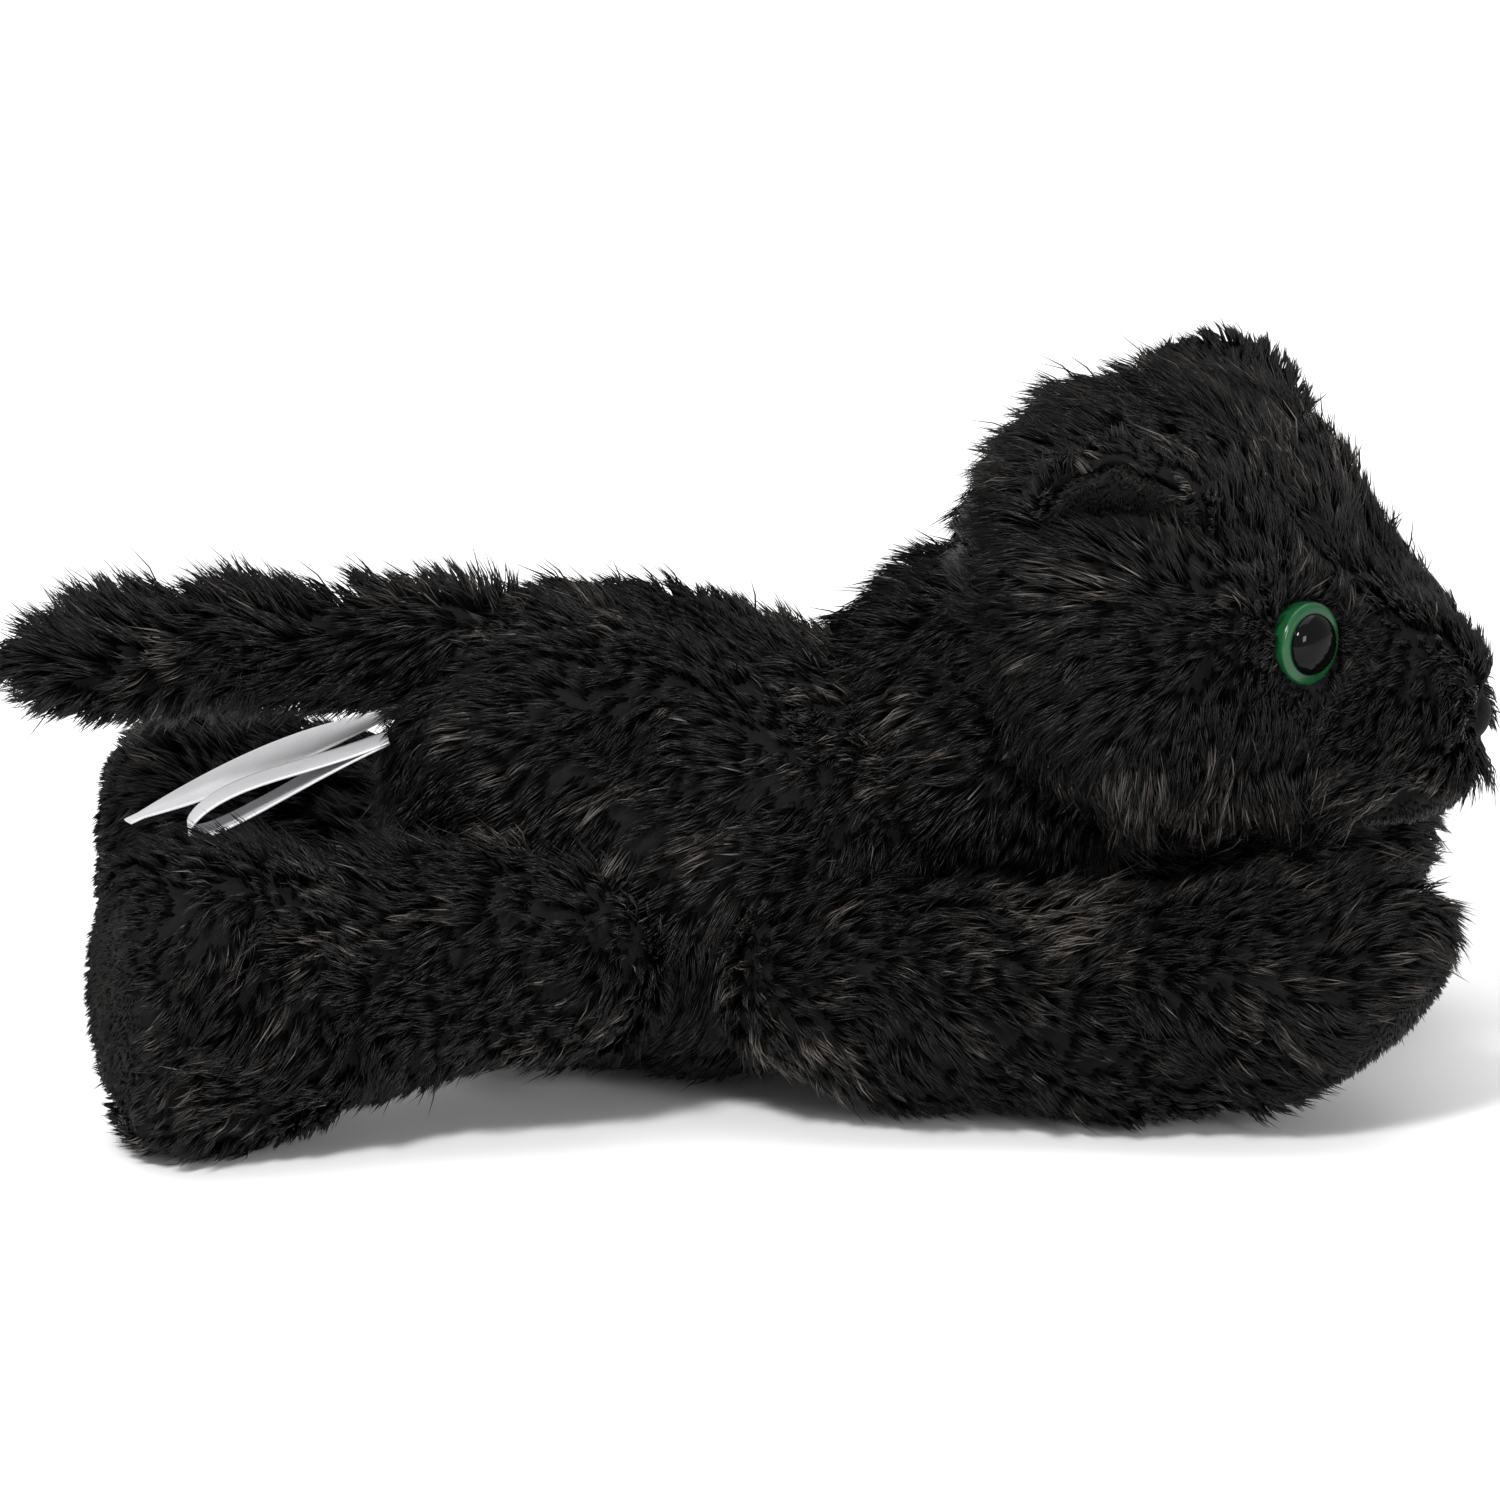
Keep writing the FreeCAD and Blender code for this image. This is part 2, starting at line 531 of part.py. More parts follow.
NODES = []
LEVEL = "create(<<placement>>; create(<<vector>>; 0; 0; 0); create(<<rotation>>; create(<<vector>>; 1; 1; 1); 120))"
SIDES = (("r", "-1"), ("l", "1"))
HEAD = place("dims.neck_x", "0", "0", AXIS_Z, "dims.head_turn")
NOSE = "%s * %s" % (HEAD, place("dims.nose_x", "0", "dims.nose_z", AXIS_Y, "90"))
TIP = place("dims.tail_x - dims.tail_knuckle", "0", "dims.tail_z", AXIS_Y, "-dims.tip_droop")

make_sheet()
make_torso()
make_neck()
make_head()
make_nose()
for side_name, side_sign in SIDES:
    make_eye(side_name, side_sign)
    make_ear(side_name, side_sign)
    make_foreleg(side_name, side_sign)
make_hindleg("r", "-1", "near", NEAR_HIND_STATIONS)
make_hindleg("l", "1", "far", FAR_HIND_STATIONS)
make_tail()
make_labels()
doc.recompute()
check_and_write()
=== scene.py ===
"""Plush cat: sewn forms under long pile, with glossy eyes, velour patches and cloth labels."""
import json
import math

import bpy
import numpy as np
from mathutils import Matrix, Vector


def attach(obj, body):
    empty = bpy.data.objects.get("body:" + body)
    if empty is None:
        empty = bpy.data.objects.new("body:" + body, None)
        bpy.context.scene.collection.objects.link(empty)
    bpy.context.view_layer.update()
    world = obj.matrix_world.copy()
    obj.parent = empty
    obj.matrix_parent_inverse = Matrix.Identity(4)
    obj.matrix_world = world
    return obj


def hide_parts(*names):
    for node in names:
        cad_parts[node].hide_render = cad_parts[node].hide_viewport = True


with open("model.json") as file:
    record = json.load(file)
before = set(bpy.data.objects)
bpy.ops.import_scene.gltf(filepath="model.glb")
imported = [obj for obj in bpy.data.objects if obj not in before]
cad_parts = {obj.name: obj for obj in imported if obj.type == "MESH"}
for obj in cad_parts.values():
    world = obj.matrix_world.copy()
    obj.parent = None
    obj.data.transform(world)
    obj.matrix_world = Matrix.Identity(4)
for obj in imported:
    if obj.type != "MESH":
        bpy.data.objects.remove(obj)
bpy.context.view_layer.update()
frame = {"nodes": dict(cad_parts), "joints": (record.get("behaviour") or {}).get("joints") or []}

MM = 0.001                                # places and sizes below are in millimetres
SHARE = 1.0
UV_NAME = "OFBake"
SIDES = (("r", -1), ("l", 1))             # the cat's right lies toward -Y
JOINTS = {joint["name"]: joint for joint in frame["joints"]}


def joint_at(name):
    """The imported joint's place in millimetres, to the nearest micron."""
    return [round(value / MM, 3) for value in JOINTS[name]["pos_m"]]


# ---------------------------------------------------------------- vectors and profiles

def unit(v):
    return v / np.maximum(np.linalg.norm(v, axis=-1, keepdims=True), 1e-9)


def smooth_curve(xs, ys, x):
    """Monotone cubic through (xs, ys)."""
    xs, ys = np.asarray(xs, float), np.asarray(ys, float)
    step = np.diff(xs)
    slope = np.diff(ys) / step
    m = np.zeros(len(xs))
    m[0], m[-1] = slope[0], slope[-1]
    same = slope[:-1] * slope[1:] > 0
    both = np.where(same, slope[:-1] + slope[1:], 1.0)
    m[1:-1] = np.where(same, 2 * slope[:-1] * slope[1:] / both, 0.0)
    i = np.clip(np.searchsorted(xs, x) - 1, 0, len(xs) - 2)
    t = np.clip((x - xs[i]) / step[i], 0, 1)
    a, b = ys[i], ys[i + 1]
    return (
        a * (1 + 2 * t) * (1 - t) ** 2 + b * t * t * (3 - 2 * t)
        + step[i] * (m[i] * t * (1 - t) ** 2 - m[i + 1] * t * t * (1 - t))
    )


def pose(x=0.0, y=0.0, z=0.0, yaw=0.0, pitch=0.0):
    """Turn down by pitch about Y, then by yaw about Z, then move. Degrees and millimetres."""
    a, b = math.radians(yaw), math.radians(pitch)
    turn_z = np.array([[math.cos(a), -math.sin(a), 0], [math.sin(a), math.cos(a), 0], [0, 0, 1.0]])
    turn_y = np.array([[math.cos(b), 0, math.sin(b)], [0, 1.0, 0], [-math.sin(b), 0, math.cos(b)]])
    return turn_z @ turn_y, np.array([x, y, z], float)


WAVES = 7
WAVE_PEAK = 3.2        # the waves' sum is divided by this to stay near -1 to 1


def lumpy(points, scale, seed):
    """Smooth noise from about -1 to 1 at each point; scale is its wavelength."""
    rng = np.random.default_rng(seed)
    total = np.zeros(len(points))
    for _ in range(WAVES):
        direction = unit(rng.normal(size=3)) * 2 * math.pi / (scale * rng.uniform(0.7, 1.5))
        total += np.sin(points @ direction + rng.uniform(0, 2 * math.pi))
    return total / WAVE_PEAK


def settle(z, start, lowest, ease):
    """Heights below start are drawn toward lowest, and none goes under it; ease is the fall's length."""
    return np.where(z < start, lowest + (start - lowest) * np.exp(np.minimum(z - start, 0) / ease), z)


def falloff(offset, radius):
    """1 at no offset, dropping as a bell whose width is radius."""
    return np.exp(-np.sum(offset ** 2, 1) / (2 * radius * radius))


class Form:
    """A padded form round its own X: stations are (x, half width, half height, centre height)."""

    def __init__(self, placed, stations, power=2.15, rings=72, around=60):
        self.turn, self.move = placed
        table = np.array(stations, float)
        self.xs, self.zc = table[:, 0], table[:, 3]
        self.w2, self.h2 = table[:, 1] ** 2, table[:, 2] ** 2
        self.power = power
        t = np.linspace(0, 1, rings + 1)[1:-1]
        x = self.xs[0] + (self.xs[-1] - self.xs[0]) * (1 - np.cos(math.pi * t)) / 2
        w, h, z = self.profile(x)
        angle = np.linspace(0, 2 * math.pi, around, endpoint=False)
        c, s = np.cos(angle), np.sin(angle)
        cy = np.sign(c) * np.abs(c) ** (2 / power)
        sz = np.sign(s) * np.abs(s) ** (2 / power)
        grid = np.stack([
            np.repeat(x[:, None], around, 1), w[:, None] * cy[None], z[:, None] + h[:, None] * sz[None],
        ], -1)
        ends = np.array([[self.xs[0], 0, self.zc[0]], [self.xs[-1], 0, self.zc[-1]]])
        self.points = self.to_world(np.concatenate([grid.reshape(-1, 3), ends]))
        self.faces = self.net(len(x), around)

    def profile(self, x):
        w = np.sqrt(np.maximum(smooth_curve(self.xs, self.w2, x), 0))
        h = np.sqrt(np.maximum(smooth_curve(self.xs, self.h2, x), 0))
        return w, h, smooth_curve(self.xs, self.zc, x)

    def to_world(self, p):
        return p @ self.turn.T + self.move

    def to_local(self, p):
        return (p - self.move) @ self.turn

    def net(self, rows, around):
        """Quads round the rings, and a fan of triangles at each end."""
        i = np.arange(rows - 1)[:, None] * around
        j = np.arange(around)[None]
        k = (j + 1) % around
        quads = np.stack([i + j, i + k, i + around + k, i + around + j], -1).reshape(-1, 4)
        first, last = rows * around, rows * around + 1
        ring, nxt = j[0], k[0]
        base = (rows - 1) * around
        start = np.stack([np.full(around, first), nxt, ring], -1)
        end = np.stack([np.full(around, last), base + ring, base + nxt], -1)
        return [quads, np.concatenate([start, end])]

    def depth(self, p):
        """How far inside the form each point is, roughly, in millimetres; -5 beyond its ends."""
        q = self.to_local(p)
        w, h, z = self.profile(np.clip(q[:, 0], self.xs[0], self.xs[-1]))
        beyond = (q[:, 0] < self.xs[0]) | (q[:, 0] > self.xs[-1])
        size = np.minimum(w, h)
        share = ((np.abs(q[:, 1]) / np.maximum(w, 0.1)) ** self.power
                 + (np.abs(q[:, 2] - z) / np.maximum(h, 0.1)) ** self.power) ** (1 / self.power)
        return np.where(beyond, -5.0, (1 - share) * size)


def triangles(faces):
    quads, tris = faces
    parts = [tris]
    if len(quads):
        parts += [quads[:, [0, 1, 2]], quads[:, [0, 2, 3]]]
    return np.concatenate(parts)


def vertex_normals(points, tris):
    a, b, c = points[tris[:, 0]], points[tris[:, 1]], points[tris[:, 2]]
    face = np.cross(b - a, c - a)
    total = np.zeros_like(points)
    for k in range(3):
        np.add.at(total, tris[:, k], face)
    return unit(total)


LUMP_WIDTH, LUMP_HEIGHT = 26, 0.7
UNDERSIDE = (1.6, 0.5, 1.1)        # settle's start, lowest and ease for the cloth


def soften(form, seed):
    """Uneven filling, and a flat underside where the toy presses on the floor."""
    normals = vertex_normals(form.points, triangles(form.faces))
    form.points = form.points + normals * (lumpy(form.points, LUMP_WIDTH, seed) * LUMP_HEIGHT)[:, None]
    form.points[:, 2] = settle(form.points[:, 2], *UNDERSIDE)


def bump(form, centre, radius, height, sides=(-1, 1)):
    """Pushes the form out, or in, round a point given in its own frame, on each side named."""
    normals = vertex_normals(form.points, triangles(form.faces))
    local = form.to_local(form.points)
    for sign in sides:
        spot = np.array([centre[0], centre[1] * sign, centre[2]])
        form.points = form.points + normals * (falloff(local - spot, radius) * height)[:, None]


# ---------------------------------------------------------------- meshes

def mesh_object(name, points, polygons):
    mesh = bpy.data.meshes.new(name)
    mesh.from_pydata((np.asarray(points) * MM).tolist(), [], [list(map(int, p)) for p in polygons])
    mesh.polygons.foreach_set("use_smooth", [True] * len(mesh.polygons))
    mesh.update()
    return add_object(name, mesh)


def add_object(name, data):
    obj = bpy.data.objects.new(name, data)
    bpy.context.scene.collection.objects.link(obj)
    return obj


def polygons_of(faces):
    quads, tris = faces
    return [*quads.tolist(), *tris.tolist()]


def dress(piece, coat, body, slot, *nodes):
    """Paints a piece, puts it on its body and hides the nodes it stands for; the slot is not used."""
    piece.data.materials.append(coat)
    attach(piece, body)
    if nodes:
        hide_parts(*nodes)


# A hair has three corners at its root, three midway and one at its tip.
HAIR_FACES = np.array([
    [0, 2, 1], [0, 1, 4], [0, 4, 3], [1, 2, 5], [1, 5, 4],
    [2, 0, 3], [2, 3, 5], [3, 4, 6], [4, 5, 6], [5, 3, 6],
])
HAIR_V = np.array([0.02, 0.02, 0.02, 0.5, 0.5, 0.5, 0.98])
HAIR_U = np.array([-1, 0, 1, -1, 0, 1, 0]) * 0.012
HAIR_POINTS = len(HAIR_V)
HAIR_WAIST = 0.8        # a hair's thickness midway, as a share of its root's


def hair_points(root, mid, tip, radius):
    along = unit(mid - root)
    helper = np.where(np.abs(along[:, 2:3]) > 0.8, np.array([[1.0, 0, 0]]), np.array([[0, 0, 1.0]]))
    across = unit(np.cross(along, helper))
    other = np.cross(along, across)
    points = np.empty((len(root), HAIR_POINTS, 3))
    for k in range(3):
        angle = 2 * math.pi * k / 3
        ring = (across * math.cos(angle) + other * math.sin(angle)) * radius[:, None]
        points[:, k] = root + ring
        points[:, 3 + k] = mid + ring * HAIR_WAIST
    points[:, 6] = tip
    return points


def hair_object(name, root, mid, tip, radius, tone):
    """Closed three-sided tapering hairs; the UV layer holds each hair's tone and the way along it."""
    count = len(root)
    loops = (np.arange(count)[:, None, None] * HAIR_POINTS + HAIR_FACES[None]).reshape(-1)
    mesh = bpy.data.meshes.new(name)
    mesh.vertices.add(count * HAIR_POINTS)
    mesh.vertices.foreach_set("co", (hair_points(root, mid, tip, radius) * MM).reshape(-1))
    mesh.loops.add(len(loops))
    mesh.loops.foreach_set("vertex_index", loops.astype(np.int32))
    mesh.polygons.add(len(loops) // 3)
    mesh.polygons.foreach_set("loop_start", np.arange(0, len(loops), 3, dtype=np.int32))
    mesh.polygons.foreach_set("use_smooth", np.ones(len(loops) // 3, dtype=bool))
    mesh.update(calc_edges=True)
    uv = np.empty((count, len(HAIR_FACES), 3, 2))
    uv[..., 0] = np.clip(tone, 0.02, 0.98)[:, None, None] + HAIR_U[HAIR_FACES][None]
    uv[..., 1] = HAIR_V[HAIR_FACES][None]
    layer = mesh.uv_layers.new(name=UV_NAME)
    layer.uv.foreach_set("vector", uv.reshape(-1).astype(np.float32))
    return add_object(name, mesh)


# ---------------------------------------------------------------- fur

PER_PIECE = 19000                          # hairs in one mesh, at most
ROOT_DEPTH = 0.35                          # roots start this far under the skin
STRAY_SHARE, STRAY_LENGTH = 0.07, 1.18     # hairs that leave their clump, and how much longer they are
HAIR_FLOOR = (0.9, 0.35, 0.9)              # settle's start, lowest and ease for the hairs


def toward(vector):
    """A comb that points one way everywhere."""
    fixed = np.array(vector, float)
    return lambda p, n: np.repeat(fixed[None], len(p), 0)


def flat_length(value):
    return lambda p, n: np.full(len(p), float(value))


def scatter(points, faces, clumps, rng):
    """Random places on a surface, clumps to a square millimetre, and the way out of it there."""
    tris = triangles(faces)
    normals = vertex_normals(points, tris)
    a, b, c = points[tris[:, 0]], points[tris[:, 1]], points[tris[:, 2]]
    area = np.linalg.norm(np.cross(b - a, c - a), axis=1) / 2
    total = int(area.sum() * clumps * SHARE)
    pick = rng.choice(len(tris), total, p=area / area.sum())
    u, v = rng.random(total), rng.random(total)
    flip = u + v > 1
    u, v = np.where(flip, 1 - u, u), np.where(flip, 1 - v, v)
    weights = np.stack([1 - u - v, u, v], 1)
    spot = np.einsum("nk,nkj->nj", weights, points[tris[pick]])
    out = unit(np.einsum("nk,nkj->nj", weights, normals[tris[pick]]))
    return spot, out


def growing(spot, out, keep):
    """Leaves out the roots that keep refuses, and those pressed on the floor."""
    if keep is not None:
        wanted = keep(spot, out)
        spot, out = spot[wanted], out[wanted]
    wanted = ~((spot[:, 2] < 1.3) & (out[:, 2] < -0.8))
    return spot[wanted], out[wanted]


def swept(spot, out, comb, swirl, seed, rng):
    """The combed way along the surface, turned by broad and fine swirls."""
    flow = comb(spot, out)
    flow = flow - out * np.sum(flow * out, 1, keepdims=True)
    flow = unit(flow)
    side = np.cross(out, flow)
    turn = lumpy(spot, 19, seed + 1) * swirl + lumpy(spot, 8, seed + 2) * swirl * 0.45
    turn += rng.normal(0, 0.1, len(spot))
    return flow * np.cos(turn)[:, None] + side * np.sin(turn)[:, None]


def clump_hairs(spot, out, flow, aim, long, hairs, rng):
    """Root, middle and tip of each clump's hairs: spread at the root, drawn together at the tip."""
    shape = (len(spot), hairs)
    side = np.cross(out, flow)
    theta = rng.random(shape) * 2 * math.pi
    reach = np.sqrt(rng.random(shape)) * min(1.15, 0.28 + long.mean() * 0.16)
    offset = (flow[:, None] * (np.cos(theta) * reach)[..., None]
              + side[:, None] * (np.sin(theta) * reach)[..., None])
    each = long[:, None] * rng.uniform(0.74, 1.1, shape)
    stray = rng.random(shape) < STRAY_SHARE
    each = np.where(stray, each * STRAY_LENGTH, each)
    jitter = rng.normal(0, 0.03, (*shape, 3))
    jitter = jitter + np.where(stray[..., None], rng.normal(0, 0.14, (*shape, 3)), 0)
    jitter *= each[..., None]
    root = spot[:, None] + offset - out[:, None] * ROOT_DEPTH
    tip = spot[:, None] + aim[:, None] * each[..., None] + offset * 0.3 + jitter
    bend = out[:, None] * (each * 0.13)[..., None] + rng.normal(0, 0.017, (*shape, 3)) * each[..., None]
    mid = root + (tip - root) * 0.5 + bend
    root, mid, tip = root.reshape(-1, 3), mid.reshape(-1, 3), tip.reshape(-1, 3)
    for line in (mid, tip):
        line[:, 2] = settle(line[:, 2], *HAIR_FLOOR)
    return root, mid, tip


def fur(name, body, points, faces, comb, length, seed, keep=None, clumps=0.36, hairs=8, lean=58.0,
        radius=0.15, swirl=0.55, coat=None, slot="black_fur", shade=None):
    """Long pile in clumps: each clump's hairs lean the same way and draw together at their tips."""
    rng = np.random.default_rng(seed)
    spot, out = growing(*scatter(points, faces, clumps, rng), keep)
    count = len(spot)
    flow = swept(spot, out, comb, swirl, seed, rng)
    angle = np.radians(lean + lumpy(spot, 11, seed + 3) * 12 + rng.normal(0, 6, count))
    long = length(spot, out) * (1 + 0.16 * lumpy(spot, 8, seed + 4) + rng.normal(0, 0.08, count))
    tone = 0.43 + 0.17 * lumpy(spot, 9, seed + 5) + 0.18 * lumpy(spot, 30, seed + 6)
    tone = tone + rng.normal(0, 0.11, count)
    # Painted light and shade, when given, are added to each clump's tone.
    if shade is not None:
        tone = tone + shade(spot)
    aim = out * np.cos(angle)[:, None] + flow * np.sin(angle)[:, None]
    root, mid, tip = clump_hairs(spot, out, flow, aim, long, hairs, rng)
    tones = np.clip(np.repeat(tone, hairs) + rng.normal(0, 0.15, len(root)), 0.0, 1.0)
    thick = radius * rng.uniform(0.75, 1.2, len(root))
    order = np.argsort(root[:, 0], kind="stable")
    chunks = max(1, math.ceil(len(order) / PER_PIECE))
    for number, part in enumerate(np.array_split(order, chunks), start=1):
        piece_name = name if chunks == 1 else "%s_%d" % (name, number)
        piece = hair_object(piece_name, root[part], mid[part], tip[part], thick[part], tones[part])
        dress(piece, coat or FUR, body, slot)


# ---------------------------------------------------------------- materials

def material(name, **values):
    made = bpy.data.materials.new(name)
    made.use_nodes = True
    shader = made.node_tree.nodes["Principled BSDF"]
    for key, value in values.items():
        shader.inputs[key.replace("_", " ")].default_value = value
    return made, made.node_tree, shader


def ramp(tree, source, stops):
    node = tree.nodes.new("ShaderNodeValToRGB")
    while len(node.color_ramp.elements) < len(stops):
        node.color_ramp.elements.new(0.5)
    for element, (at, colour) in zip(node.color_ramp.elements, stops):
        element.position = at
        element.color = (*colour, 1)
    tree.links.new(source, node.inputs[0])
    return node


def noise(tree, scale, detail, rough):
    place = tree.nodes.new("ShaderNodeTexCoord")
    node = tree.nodes.new("ShaderNodeTexNoise")
    node.inputs["Scale"].default_value = scale
    node.inputs["Detail"].default_value = detail
    node.inputs["Roughness"].default_value = rough
    tree.links.new(place.outputs["Object"], node.inputs["Vector"])
    return node


def relief(tree, shader, source, strength, distance):
    node = tree.nodes.new("ShaderNodeBump")
    node.inputs["Strength"].default_value = strength
    node.inputs["Distance"].default_value = distance
    tree.links.new(source, node.inputs["Height"])
    tree.links.new(node.outputs[0], shader.inputs["Normal"])


TONE_STOPS = (0.0, 0.45, 0.7, 0.87, 1.0)        # where each of a pile's five colours sits
# Painted shade: a hair's colour is multiplied by 0.6 at its root, where the pile shades itself, rising to
# 1.2 at its tip.
ROOT_SHADE_PAINT = ((0.0, (0.6, 0.6, 0.6)), (0.5, (0.9, 0.9, 0.9)), (1.0, (1.2, 1.18, 1.15)))        # root to tip


def fur_material(name, colours, gloss):
    """Each hair's tone sets its colour between the darkest and the palest; it is darker at its root as
    painted shade, and paler toward its tip.
    """
    made, tree, shader = material(name, Roughness=0.35, Specular_IOR_Level=gloss)
    uv = tree.nodes.new("ShaderNodeUVMap")
    uv.uv_map = UV_NAME
    split = tree.nodes.new("ShaderNodeSeparateXYZ")
    tree.links.new(uv.outputs[0], split.inputs[0])
    tone = ramp(tree, split.outputs[0], list(zip(TONE_STOPS, colours)))
    # Painted shade, darker toward each hair's root.
    root_shade = ramp(tree, split.outputs[1], ROOT_SHADE_PAINT)
    mix = tree.nodes.new("ShaderNodeMix")
    mix.data_type = "RGBA"
    mix.blend_type = "MULTIPLY"
    mix.inputs["Factor"].default_value = 1.0
    tree.links.new(tone.outputs[0], mix.inputs["A"])
    tree.links.new(root_shade.outputs[0], mix.inputs["B"])
    tree.links.new(mix.outputs["Result"], shader.inputs["Base Color"])
    return made


def cloth_material(name, dark, light, scale, rough, strength, distance, **extra):
    """A fine grain over broad patches in its colour, and the grain alone in its relief."""
    made, tree, shader = material(name, Roughness=rough, **extra)
    grain = noise(tree, scale, 4.0, 0.65)
    patches = noise(tree, scale / 14, 2.0, 0.5)
    mix = tree.nodes.new("ShaderNodeMix")
    mix.inputs["Factor"].default_value = 0.35
    tree.links.new(grain.outputs["Fac"], mix.inputs["A"])
    tree.links.new(patches.outputs["Fac"], mix.inputs["B"])
    tone = ramp(tree, mix.outputs["Result"], [(0.3, dark), (0.7, light)])
    tree.links.new(tone.outputs[0], shader.inputs["Base Color"])
    relief(tree, shader, grain.outputs["Fac"], strength, distance)
    return made


def grey(value):
    return (value, value, value)


FUR = fur_material("fur_pile", (
    (0.0042, 0.0042, 0.0044), (0.0056, 0.0054, 0.0055), (0.0098, 0.0091, 0.0088),
    (0.031, 0.0275, 0.0252), (0.118, 0.104, 0.094),
), 0.19)
VELOUR_PILE = fur_material("velour_pile", (
    (0.0045, 0.0043, 0.0042), (0.0085, 0.0080, 0.0076), (0.0135, 0.0125, 0.0118),
    (0.021, 0.0185, 0.017), (0.045, 0.039, 0.035),
), 0.2)
SKIN = cloth_material("pile_base", grey(0.006), (0.011, 0.0105, 0.0104), 900, 0.95, 0.5, 0.0006,
                      Specular_IOR_Level=0.05)
VELOUR = cloth_material("velour", (0.0045, 0.0043, 0.0042), (0.0135, 0.0125, 0.0120), 2600, 0.9, 0.6, 0.0004,
                        Specular_IOR_Level=0.12, Sheen_Weight=0.03, Sheen_Roughness=0.5)
LABEL = cloth_material("label_satin", (0.58, 0.58, 0.60), (0.70, 0.70, 0.71), 1500, 0.55, 0.25, 0.0002)
IRIS = cloth_material("eye_green", (0.005, 0.048, 0.014), (0.009, 0.070, 0.023), 700, 0.22, 0.02, 0.0001,
                      Specular_IOR_Level=0.25, Coat_Weight=0.2, Coat_Roughness=0.05)
PUPIL = cloth_material("eye_black", grey(0.0015), grey(0.003), 500, 0.05, 0.01, 0.0001,
                       Specular_IOR_Level=0.12)
NOSE = cloth_material("nose_black", (0.003, 0.0028, 0.0028), (0.009, 0.0085, 0.0085), 2200, 0.6, 0.4, 0.0003,
                      Specular_IOR_Level=0.03)
WASHER = cloth_material("washer_plastic", grey(0.6), (0.72, 0.72, 0.71), 300, 0.45, 0.1, 0.0002)
FLOOR = cloth_material("floor", grey(0.90), grey(0.92), 3, 0.9, 0.0, 0.001)

# ---------------------------------------------------------------- forms

HEAD_YAW = -13.0        # the head looks this far toward the cat's right
FORE_YAW = 5.0          # each foreleg points this far outward
HIND_YAW = {"r": 17.0, "l": -15.6}        # each turned outward from straight back
HIND_POWER = 2.5        # squarer than the other forms
NECK_X, NECK_Y, _ = joint_at("neck_turn")
HEAD = pose(NECK_X, NECK_Y, 0, HEAD_YAW)

torso = Form(pose(), [
    (-50, 0, 0, 41), (-48.5, 12, 10.5, 41), (-44, 21, 19.5, 40), (-37, 28, 27, 37.8),
    (-25, 33.5, 32.4, 35.8), (-12, 34.5, 32.2, 34.6), (0, 33.5, 30.4, 33.4), (12, 31, 27.5, 32.4),
    (22, 25.5, 23.8, 32.6), (30, 16, 18, 34), (35, 0, 0, 36),
])
neck = Form(HEAD, [
    (-27, 0, 0, 50), (-22, 16, 14, 50), (-12, 25, 20.5, 51), (0, 27, 22, 53), (10, 22, 20, 54),
    (18, 0, 0, 55),
], rings=40)
head = Form(HEAD, [
    (-6, 0, 0, 70.5), (-3, 16, 13, 71), (2, 26.5, 21, 71.2), (9, 34.5, 26.3, 71.2),
    (19, 39.5, 29, 71.2), (30, 38, 28.2, 70.4), (40, 32, 25.5, 67.4), (47, 26, 22.2, 64),
    (54, 21.3, 18.2, 60.1), (60, 18, 15, 57.2), (65, 12.5, 10, 56), (67.5, 0, 0, 55.5),
], rings=96, around=84)
FORE = [
    (-15.5, 0, 0, 22), (-14, 8, 7.4, 22), (-8, 14, 12.8, 21.6), (0, 15.5, 14.2, 20.2),
    (10, 15.4, 14.4, 18.8), (24, 15.2, 14.3, 17.6), (40, 15.1, 14.2, 17.4), (60, 15.7, 14.4, 19.4),
    (70, 15, 13, 21.8), (78, 12.2, 10.6, 24), (84, 7, 6, 26), (86, 0, 0, 26.5),
]
HIND = {
    "r": [
        (-15.5, 0, 0, 25), (-13.5, 8.5, 8.5, 25), (-8, 13.8, 12.6, 25), (0, 15.5, 13.8, 25),
        (14, 14.6, 14, 24.4), (28, 14.5, 15.8, 22.8), (40, 15, 19.4, 22), (49, 15.3, 20.6, 21.8),
        (56, 15, 20.2, 21.8), (59.8, 13.6, 18.8, 22), (61.4, 10.5, 15, 22.4), (62, 0, 0, 22.6),
    ],
    "l": [
        (-15.5, 0, 0, 21), (-13.5, 9, 9, 21), (-8, 14.5, 14.5, 21), (0, 16.3, 16, 21),
        (14, 15.2, 15.3, 20.4), (28, 15.4, 16.6, 20), (40, 16.4, 18.2, 20), (50, 17, 18.8, 20),
        (58, 16.5, 18, 20), (61.5, 15, 16.4, 20), (63.2, 11.5, 13, 20), (63.8, 0, 0, 20),
    ],
}
foreleg, hindleg = {}, {}
for s, k in SIDES:
    shoulder_x, shoulder_y, _ = joint_at("foreleg_%s_splay" % s)
    hip_x, hip_y, _ = joint_at("hindleg_%s_splay" % s)
    foreleg[s] = Form(pose(shoulder_x, shoulder_y, 0, FORE_YAW * k), FORE)
    hindleg[s] = Form(pose(hip_x, hip_y, 0, 180 + HIND_YAW[s]), HIND[s], HIND_POWER)
tail_root = Form(pose(*joint_at("tail_swing"), 180), [
    (-7, 0, 0, 0), (-5, 4.6, 4.6, 0), (0, 6.6, 6.6, 0), (15, 6.5, 6.5, 0), (29, 6.5, 6.5, 0),
    (35, 5.4, 5.4, 0), (39, 0, 0, 0),
], rings=40, around=36)
tail_tip = Form(pose(*joint_at("tail_bend"), 180, 4), [
    (-6, 0, 0, 0), (-4, 4.4, 4.4, 0), (0, 6.0, 6.0, 0), (10, 6, 6, 0), (20, 5.6, 5.6, 0),
    (27, 4.0, 4.0, 0), (30, 0, 0, 0),
], rings=40, around=36)

